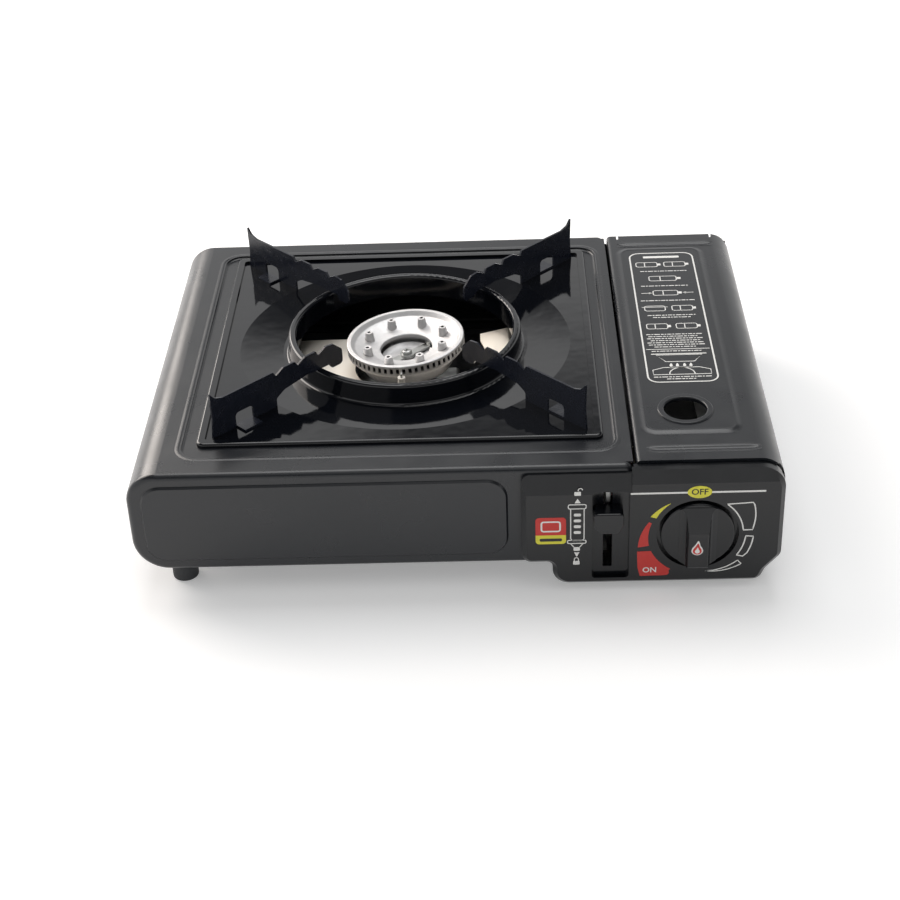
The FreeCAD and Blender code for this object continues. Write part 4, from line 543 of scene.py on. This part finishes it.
class STOVE_OT_panel_prints(bpy.types.Operator):
    """Prints the off mark, the flame scale and the lock signs on the control panel"""

    bl_idname = "stove.panel_prints"
    bl_label = "Print the control panel"

    def execute(self, context):
        self.off_mark()
        self.flame_scale()
        self.lock_signs()
        self.sticker()
        return {"FINISHED"}

    def off_mark(self):
        left, right, height = PANEL_RULE
        rule = Print()
        rule.line([(left, height), (right, height)], sizes().rule_width / MM)
        rule.lay("panel_white_rule", on_panel(), "white_ink", "root")
        turns = [radians(10 * step) for step in range(36)]
        oval = Print()
        oval.area([(OFF_CENTRE[0] + OFF_REACH[0] * cos(turn), OFF_CENTRE[1] + OFF_REACH[1] * sin(turn))
                   for turn in turns])
        oval.lay("panel_off_oval", on_panel(2), "yellow_ink", "root")
        word = Print()
        word.letters("OFF", OFF_LETTERS, OFF_CENTRE)
        word.lay("panel_off_word", on_panel(3), "black_ink", "root")

    def flame_scale(self):
        centre = KNOB_CENTRE
        small = Print()
        small.area(arc(centre, (27.4, 24.6), 155, 126) + arc(centre, (24.4, 24.2), 127, 154))
        small.lay("scale_small_flame", on_panel(), "yellow_ink", "root")
        full = Print()
        full.area(arc(centre, (32.0, 26.8), 194, 162) + arc(centre, (25.2, 26.2), 162.5, 195))
        full.area([*FULL_FLAME_FOOT, *arc((110.6, 11.2), 1.7, 290, 400, 5),
                   *arc(centre, (26.0, 26.2), 238, 203)])
        full.lay("scale_full_flame", on_panel(), "red_ink", "root")
        word = Print()
        word.letters("ON", ON_LETTERS, ON_CENTRE)
        word.lay("scale_on_word", on_panel(2), "white_ink", "root")
        outlines = Print()
        width = sizes().line_width / MM
        outlines.line(arc(centre, 23.6, 52, 5) + [(155.0, 37.8)] + arc((126.6, 46.5), 29.5, -14, 14, 8)
                      + [(154.4, 55.0)], width, closed=True)
        outlines.line(arc(centre, 25.0, -4, -34) + [(150.6, 20.8)] + arc(centre, 29.0, -26, -4, 8), width,
                      closed=True)
        outlines.line(arc(centre, (27.6, 24.4), -39, -79) + arc(centre, (24.6, 30.6), -77, -40),
                      width * 0.85, closed=True)
        outlines.lay("scale_outlines", on_panel(), "white_ink", "root")

    def lock_signs(self):
        signs = Print()
        width = sizes().line_width * 0.8 / MM
        signs.line(rounded_box(*LOCK_CAP, 0.9), width, closed=True)
        signs.line(LOCK_BODY, width)
        signs.line(rounded_box(*LOCK_RIM, 0.7), width, closed=True)
        signs.line(LOCK_NECK, width)
        signs.area(rounded_box(*LOCK_TIP, 0.6))
        signs.area(LOCK_UP)
        signs.area(LOCK_DOWN)
        self.padlock(signs, *OPEN_PADLOCK)
        self.padlock(signs, *SHUT_PADLOCK)
        for v in LOCK_BARS:
            signs.area(rounded_box(62.0, v - 0.9, 65.8, v + 0.9, 0.8))
        signs.lay("panel_lock_signs", on_panel(), "white_ink", "root")

    def padlock(self, signs, u, v, swing):
        """A small padlock, its bow swung aside by so many millimetres."""
        signs.area(rounded_box(u - 1.7, v, u + 1.7, v + 2.4, 0.4))
        bow = [(u - 1.1 + swing, v + 2.4 + swing * 0.3)] + arc((u + swing, v + 3.4), 1.1, 180, 0, 8)
        if swing == 0:
            bow.append((u + 1.1, v + 2.4))
        signs.line(bow, 0.5)

    def sticker(self):
        left, right = STICKER
        top_left, top_right, low_left, low_right = STICKER_TURNS
        upper = Print()
        upper.area(arc(top_left, STICKER_CORNER, 180, 90, 5)[::-1]
                   + [(left, STICKER_SEAM), (right, STICKER_SEAM)]
                   + arc(top_right, STICKER_CORNER, 0, 90, 5))
        upper.lay("sticker_red_field", on_panel(), "red_ink", "root")
        lower = Print()
        lower.area([(right, STICKER_SEAM), (left, STICKER_SEAM)]
                   + arc(low_left, STICKER_CORNER, 180, 270, 5)
                   + arc(low_right, STICKER_CORNER, 270, 360, 5))
        lower.lay("sticker_yellow_field", on_panel(), "yellow_ink", "root")
        mark = Print()
        mark.line(rounded_box(*STICKER_MARK, 1.2), 0.9, closed=True)
        mark.lay("sticker_plain_mark", on_panel(2), "white_ink", "root")
        bar = Print()
        bar.area(rounded_box(*STICKER_BAR, 0.7))
        bar.lay("sticker_dark_bar", on_panel(2), "black_ink", "root")


class STOVE_OT_knob_print(bpy.types.Operator):
    """Prints the flame on the knob's grip"""

    bl_idname = "stove.knob_print"
    bl_label = "Print the knob"

    def execute(self, context):
        edge = self.flame(1.0)
        edge.lay("knob_flame_edge", on_grip(), "white_ink", "knob_set")
        body = self.flame(0.78)
        body.lay("knob_flame_body", on_grip(2), "red_ink", "knob_set")
        core = self.flame(0.42)
        core.lay("knob_flame_core", on_grip(3), "white_ink", "knob_set")
        return {"FINISHED"}

    def flame(self, scale):
        """A flame's outline at a share of its full height of 9 mm, standing on one foot."""
        u = KNOB_CENTRE[0] + FLAME_OFFSET[0]
        v = KNOB_CENTRE[1] + FLAME_OFFSET[1] + (1 - scale) * FLAME_RAISE
        flame = Print()
        flame.area([(u + a * scale, v + b * scale) for a, b in softened(FLAME, 2)][::-1])
        return flame


class STOVE_OT_lid_print(bpy.types.Operator):
    """Prints the framed column of plain drawings on the lid"""

    bl_idname = "stove.lid_print"
    bl_label = "Print the lid"

    def execute(self, context):
        label = Print()
        left, right, front, back = LID_LABEL
        middle = (left + right) / 2
        hair = sizes().line_width / MM
        label.line(rounded_box(left, front, right, back, 6.0), hair * 1.3, closed=True)
        label.area(rounded_box(middle - 11, back - 6.6, middle + 11, back - 4.0, 0.8))
        for v, reach in LID_ROWS:
            self.dashes(label, middle, v, reach)
        label.area([(left + 1.4, -11.3), (right - 1.4, -11.3), (right - 1.4, -10.7), (left + 1.4, -10.7)])
        for u, v, reach in LID_CARTRIDGES:
            self.cartridge(label, middle + u, v, reach, hair * 0.8)
        for side in (-1, 1):
            u = middle + side * 12.5
            label.line([(u - 3.0, LID_ARROWS_Y), (u + 3.0, LID_ARROWS_Y)], hair * 0.8)
            label.area([(u - side * 3.6, LID_ARROWS_Y), (u - side * 1.6, LID_ARROWS_Y - side * 1.2),
                        (u - side * 1.6, LID_ARROWS_Y + side * 1.2)])
        self.pot(label, middle - 9.0, 34.0, hair * 0.8)
        self.stove(label, middle, -39.0, hair * 0.9)
        label.lay("lid_label_print", on_lid(), "white_ink", "lid")
        return {"FINISHED"}

    def dashes(self, label, middle, v, reach):
        """A row of short dashes, long and short by turns."""
        u = middle - reach
        for dash in cycle(DASHES):
            if u + dash > middle + reach:
                break
            label.area([(u, v - DASH_HALF), (u + dash, v - DASH_HALF), (u + dash, v + DASH_HALF),
                        (u, v + DASH_HALF)])
            u += dash + DASH_GAP

    def cartridge(self, label, u, v, reach, hair):
        """A cartridge lying on its side, in outline, with its band and collar."""
        half = reach / 2
        label.line(rounded_box(u - half, v - 2.9, u + half * 0.72, v + 2.9, 1.4), hair, closed=True)
        label.line([(u - half * 0.3, v - 2.9), (u - half * 0.3, v + 2.9)], hair)
        label.area(rounded_box(u + half * 0.76, v - 1.3, u + half, v + 1.3, 0.4))

    def pot(self, label, u, v, hair):
        """A pot seen from the side, in outline."""
        label.line(rounded_box(u - 6.0, v, u + 6.0, v + 6.0, 1.6), hair, closed=True)
        label.line([(u - 7.6, v + 4.6), (u + 7.6, v + 4.6)], hair)

    def stove(self, label, u, v, hair):
        """A wide pan over a burner on a flat stove, in outline."""
        label.line([(u - 13, v + 21.5), (u + 13, v + 21.5), (u + 8, v + 14), (u - 8, v + 14)], hair,
                   closed=True)
        label.line([(u - 15.5, v + 22.6), (u + 15.5, v + 22.6)], hair * 1.5)
        for k in (-5.5, -2, 2, 5.5):
            label.area([(u + k + a, v + 8.6 + b) for a, b in softened([(-1.3, 0), (1.3, 0), (0.2, 4.6)], 2)])
        label.line(arc((u, v + 0.4), 7, 180, 0, 12), hair)
        label.area(rounded_box(u - 6.5, v + 7.0, u + 6.5, v + 8.2, 0.5))
        label.line([(u - 16, v), (u - 16, v + 5), (u - 10, v + 7.6), (u + 10, v + 7.6), (u + 16, v + 5),
                    (u + 16, v)], hair, closed=True)


# Pressed detail of the sheets

COVER_TOP = 75.0
SHELF_TOP = 73.5
SHELF_EDGE = (-145.0, -109.8, 86.0, 123.4)
LID_TOP = 76.2
LID_PANEL_EDGE = (102.0, -96.2, 150.0, 114.0)
LID_GROOVES = (-112.8, 121.4)
LID_GROOVE_ENDS = (102.0, 158.5)
SHELF_SLOPE = (
    (-1.9, SHELF_TOP + 0.03), (-1.2, SHELF_TOP + 0.16), (-0.5, SHELF_TOP + 0.8), (-0.1, COVER_TOP - 0.1),
    (0.5, COVER_TOP + 0.22), (1.1, COVER_TOP + 0.26), (1.9, COVER_TOP + 0.12), (2.6, COVER_TOP + 0.02))
LID_SLOPE = (
    (-1.2, LID_PANEL_Z + 0.02), (-0.4, LID_PANEL_Z + 0.10), (0.2, LID_PANEL_Z + 0.05),
    (1.0, LID_PANEL_Z - 0.25), (1.9, LID_TOP + 0.22), (2.8, LID_TOP + 0.06), (3.4, LID_TOP + 0.02))
GROOVE_SLOPE = ((-3.6, 0.02), (-2.9, 0.14), (-2.2, 0.10), (-1.5, -0.34), (-0.8, -0.72), (0.0, -0.86),
                (0.8, -0.72), (1.5, -0.34), (2.2, 0.10), (2.9, 0.14), (3.6, 0.02))
GROOVE_RISE = 0.02


def loft(name, rings, finish, body, closed=True):
    """A smooth skin through rings of points in millimetres, the same number in each."""
    count = len(rings[0])
    points = [(u * MM, v * MM, z * MM) for ring in rings for u, v, z in ring]
    faces = []
    for k in range(len(rings) - 1):
        for i in range(count if closed else count - 1):
            a, b = k * count + i, k * count + (i + 1) % count
            faces.append((a, b, b + count, a + count))
    return put(name, points, faces, finish, body, smooth=True)


def edge_slope(name, edge, corner, profile, body):
    """A sloped edge round a pressed field; the profile gives (distance outward, height) pairs."""
    u0, v0, u1, v1 = edge
    rings = []
    for out, z in profile:
        outline = rounded_box(u0 - out, v0 - out, u1 + out, v1 + out, corner + out, 8)
        rings.append([(u, v, z) for u, v in outline])
    return loft(name, rings[::-1], "coat", body)


class STOVE_OT_pressings(bpy.types.Operator):
    """Rounds the pressed steps of the top and the lid, and the lid's two cross grooves"""

    bl_idname = "stove.pressings"
    bl_label = "Press the top and the lid"

    def execute(self, context):
        edge_slope("cover_shelf_slope", SHELF_EDGE, 11.0, SHELF_SLOPE, "root")
        edge_slope("lid_panel_slope", LID_PANEL_EDGE, 6.0, LID_SLOPE, "lid")
        for number, v in enumerate(LID_GROOVES, 1):
            self.groove(f"lid_groove_{number}", v)
        return {"FINISHED"}

    def groove(self, name, v):
        start, end = LID_GROOVE_ENDS
        rings = []
        for u, share in ((start - 1.4, 0.1), (start + 0.2, 0.45), (start + 2.0, 0.8), (start + 4.5, 1.0),
                         (end - 4.5, 1.0), (end - 2.0, 0.8), (end - 0.2, 0.45), (end + 1.4, 0.1)):
            rings.append([(u, v + across * (0.7 + 0.3 * share), LID_TOP + GROOVE_RISE + depth * share)
                          for across, depth in GROOVE_SLOPE])
        loft(name, rings, "coat", "lid", closed=False)


# Detail round the burner

BURNER_CENTRE = (-28.75, 10.225)
BURNER_TILT = radians(3.5)
BURNER_TILT_Z = 77.0
EYE_FLOOR = ((14.7, 65.6), (13.2, 64.3), (10.5, 63.9), (7.0, 63.7), (5.2, 63.9), (0.4, 64.1))
NOTCH_ABOVE = 50.0
PLATE_NOTCH = ((14.2, 60.0), (14.2, 36.0), (19.5, 14.0), (19.5, -4.0), (-6.0, -4.0), (-6.0, 60.0))


def turned(name, profile, finish, body, count=48):
    """A smooth turned skin from (radius, height) pairs round the burner's own leaning axis."""
    centre = BURNER_CENTRE
    tilt = BURNER_TILT
    rings = []
    for radius, z in profile:
        ring = []
        for u, v in arc((0, 0), radius, 0, 360 - 360 / count, count - 1):
            rise = z - BURNER_TILT_Z
            ring.append((centre[0] + u * cos(tilt) - rise * sin(tilt), centre[1] + v,
                         BURNER_TILT_Z + u * sin(tilt) + rise * cos(tilt)))
        rings.append(ring)
    return loft(name, rings, finish, body)


class STOVE_OT_burner_detail(bpy.types.Operator):
    """Notches the reflector plate round the mixing tube and seats the dished floor in the burner's eye"""

    bl_idname = "stove.burner_detail"
    bl_label = "Detail the burner"

    def execute(self, context):
        self.plate()
        turned("burner_eye_floor", EYE_FLOOR, "cast", "root")
        return {"FINISHED"}

    def plate(self):
        """A copy of the plate, parted along the notch's sides and without the faces inside them."""
        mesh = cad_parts["reflector_plate"].data.copy()
        mesh.name = "reflector_notched"
        work = bmesh.new()
        work.from_mesh(mesh)
        corners = [Vector((u * MM, v * MM, 0)) for u, v in PLATE_NOTCH]
        for start, end in zip(corners, corners[1:] + corners[:1]):
            across = (end - start).cross(Vector((0, 0, 1)))
            bmesh.ops.bisect_plane(work, geom=work.verts[:] + work.edges[:] + work.faces[:], plane_co=start,
                                   plane_no=across)
        inside = [face for face in work.faces if face.calc_center_median().z > NOTCH_ABOVE * MM
                  and self.encloses(corners, face.calc_center_median())]
        bmesh.ops.delete(work, geom=inside, context="FACES")
        work.to_mesh(mesh)
        work.free()
        mesh.materials.clear()
        mesh.materials.append(finish_named("bright"))
        piece = bpy.data.objects.new("reflector_notched", mesh)
        bpy.context.collection.objects.link(piece)
        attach(piece, "root")
        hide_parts("reflector_plate")

    def encloses(self, corners, place):
        """Whether a place lies inside an outline, seen from above."""
        inside = False
        for a, b in zip(corners, corners[1:] + corners[:1]):
            if (a.y > place.y) != (b.y > place.y):
                if place.x < a.x + (place.y - a.y) * (b.x - a.x) / (b.y - a.y):
                    inside = not inside
        return inside


# Parts that are shown as they come from the frame, and the studio round them

CARRIED = {
    "coat": ("top_cover", "lower_case", "front_panel", "rear_panel", "canister_lid",
             "canister_bay"),
    "enamel": ("drip_pan",),
    "support": ("support_rear_right", "support_rear_left", "support_front_left", "support_front_right"),
    "bright": ("canister_guide",),
    "cast": ("burner_head", "burner_base", "regulator_body", "regulator_cap"),
    "zinc": ("burner_bracket", "lever_slider", "slider_guide", "canister_carrier", "air_shutter",
             "burner_screw", "burner_strap", "rear_screws", "panel_screws", "lid_hinge_pin",
             "electrode_needle", "regulator_spring", "gas_pipe"),
    "abs": ("control_panel", "control_knob", "lock_lever", "piezo_igniter", "piezo_plunger", "igniter_cam"),
    "rubber": ("tall_feet", "short_feet"),
    "brass": ("gas_jet", "valve_spindle"),
    "ceramic": ("ignition_electrode",),
    "lead": ("ignition_lead",),
    "nitrile": ("canister_seal", "regulator_diaphragm"),
}


class STOVE_OT_carried_parts(bpy.types.Operator):
    """Gives every part that is shown as it comes from the frame its finish"""

    bl_idname = "stove.carried_parts"
    bl_label = "Finish the carried parts"

    def execute(self, context):
        for finish, nodes in CARRIED.items():
            for node in nodes:
                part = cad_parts[node]
                part.data.materials.clear()
                part.data.materials.append(finish_named(finish))
        return {"FINISHED"}


WINDOW_PLACE = (-1.45, 1.35, 1.2)
WINDOW_SIZE = 1.5
CEILING_PLACE = (0.0, 0.75, 1.8)
CEILING_SIZE = 1.2
FLOOR_HALF = 6.0
SENSOR_WIDTH = 36
SKY_BANDS = ((0.0, 1.0), (0.46, 1.0), (0.56, 0.12), (0.85, 0.14))


class STOVE_OT_studio(bpy.types.Operator):
    """Sets the floor, the soft lights and the camera"""

    bl_idname = "stove.studio"
    bl_label = "Set the studio"

    def execute(self, context):
        self.floor()
        self.sky(context.scene)
        self.softbox("window_softbox", WINDOW_PLACE, WINDOW_SIZE, studio().window_power)
        self.softbox("ceiling_softbox", CEILING_PLACE, CEILING_SIZE, studio().ceiling_power)
        self.camera(context.scene)
        context.scene.view_settings.view_transform = "Standard"
        return {"FINISHED"}

    def floor(self):
        # A matt paper sweep: it keeps the stove's soft shadow and shows pale to the camera.
        material, tree, shader = new_finish("matt_paper_sweep")
        tree.links.new(mottled(tree, colours().floor, 0.01, 400), shader.inputs["Base Color"])
        shader.inputs["Roughness"].default_value = 0.9
        shader.inputs["Emission Color"].default_value = (1.0, 1.0, 1.0, 1.0)
        ray = add_node(tree, "ShaderNodeLightPath")
        seen = add_node(tree, "ShaderNodeMath", {"operation": "MAXIMUM"},
                        {0: ray.outputs["Is Camera Ray"], 1: ray.outputs["Is Glossy Ray"]})
        lift = add_node(tree, "ShaderNodeMath", {"operation": "MULTIPLY"},
                        {0: seen.outputs["Value"], 1: studio().floor_lift})
        tree.links.new(lift.outputs["Value"], shader.inputs["Emission Strength"])
        mesh = bpy.data.meshes.new("studio_floor")
        half = FLOOR_HALF
        corners = [(-half, -half, 0), (half, -half, 0), (half, half, 0), (-half, half, 0)]
        mesh.from_pydata(corners, [], [(0, 1, 2, 3)])
        mesh.materials.append(material)
        sweep = bpy.data.objects.new("studio_floor", mesh)
        bpy.context.collection.objects.link(sweep)

    def sky(self, scene):
        # A pale room: a white horizon all round, a dim band above it and a bright ceiling.
        world = bpy.data.worlds.new("studio_sky")
        scene.world = world
        world.use_nodes = True
        tree = world.node_tree
        place = add_node(tree, "ShaderNodeTexCoord")
        parts = add_node(tree, "ShaderNodeSeparateXYZ", inputs={"Vector": place.outputs["Generated"]})
        tilt = add_node(tree, "ShaderNodeMapRange", inputs={
            "Value": parts.outputs["Y"], "From Min": -0.8, "From Max": 0.8, "To Min": 0.18, "To Max": 0.0})
        wing = add_node(tree, "ShaderNodeMapRange", inputs={
            "Value": parts.outputs["X"], "From Min": -0.26, "From Max": -0.05,
            "To Min": -0.24, "To Max": 0.0})
        lean = add_node(tree, "ShaderNodeMath", {"operation": "ADD"},
                        {0: tilt.outputs["Result"], 1: wing.outputs["Result"]})
        height = add_node(tree, "ShaderNodeMath", {"operation": "ADD"},
                          {0: parts.outputs["Z"], 1: lean.outputs["Value"]})
        bands = add_node(tree, "ShaderNodeValToRGB", inputs={"Fac": height.outputs["Value"]})
        ramp = bands.color_ramp
        ramp.interpolation = "EASE"
        for rise, level in SKY_BANDS:
            ramp.elements.new(rise).color = (level, level, level, 1.0)
        ramp.elements.remove(ramp.elements[0])
        background = tree.nodes["Background"]
        tree.links.new(bands.outputs["Color"], background.inputs["Color"])
        background.inputs["Strength"].default_value = studio().sky_strength

    def softbox(self, name, place, size, power):
        light = bpy.data.lights.new(name, "AREA")
        light.shape = "SQUARE"
        light.size = size
        light.energy = power
        light.color = linear("#fff6ee") if place[0] < 0 else (1.0, 1.0, 1.0)
        lamp = bpy.data.objects.new(name, light)
        lamp.location = place
        lamp.rotation_euler = (-Vector(place)).to_track_quat("-Z", "Y").to_euler()
        bpy.context.collection.objects.link(lamp)

    def camera(self, scene):
        lens = bpy.data.cameras.new("photo_view")
        lens.lens = studio().lens
        lens.sensor_width = SENSOR_WIDTH
        viewer = bpy.data.objects.new("photo_view", lens)
        viewer.matrix_world = (Matrix.Translation(studio().camera_place)
                               @ Matrix.Rotation(studio().camera_yaw, 4, "Z")
                               @ Matrix.Rotation(pi / 2 - studio().camera_pitch, 4, "X")
                               @ Matrix.Rotation(studio().camera_roll, 4, "Z"))
        bpy.context.collection.objects.link(viewer)
        scene.camera = viewer


class STOVE_PT_panel(bpy.types.Panel):
    """Lists the stove's pieces, sizes and colours"""

    bl_idname = "STOVE_PT_panel"
    bl_label = "Cassette stove"
    bl_space_type = "VIEW_3D"
    bl_region_type = "UI"
    bl_category = "Stove"

    def draw(self, context):
        for group in (context.scene.stove_sizes, context.scene.stove_colours, context.scene.stove_studio):
            for name in group.bl_rna.properties.keys():
                if name not in {"rna_type", "name"}:
                    self.layout.prop(group, name)
        for operator in OPERATORS:
            self.layout.operator(operator.bl_idname)


GROUPS = (StoveColours, StoveSizes, StoveStudio)
OPERATORS = (STOVE_OT_carried_parts, STOVE_OT_panel_prints, STOVE_OT_knob_print, STOVE_OT_lid_print,
             STOVE_OT_pressings, STOVE_OT_burner_detail, STOVE_OT_studio)


def register():
    for cls in (*GROUPS, *OPERATORS, STOVE_PT_panel):
        bpy.utils.register_class(cls)
    bpy.types.Scene.stove_colours = bpy.props.PointerProperty(type=StoveColours)
    bpy.types.Scene.stove_sizes = bpy.props.PointerProperty(type=StoveSizes)
    bpy.types.Scene.stove_studio = bpy.props.PointerProperty(type=StoveStudio)


def unregister():
    del bpy.types.Scene.stove_studio
    del bpy.types.Scene.stove_sizes
    del bpy.types.Scene.stove_colours
    for cls in reversed((*GROUPS, *OPERATORS, STOVE_PT_panel)):
        bpy.utils.unregister_class(cls)


def main():
    register()
    for operator in OPERATORS:
        group, name = operator.bl_idname.split(".")
        getattr(getattr(bpy.ops, group), name)()


if __name__ == "__main__":
    main()
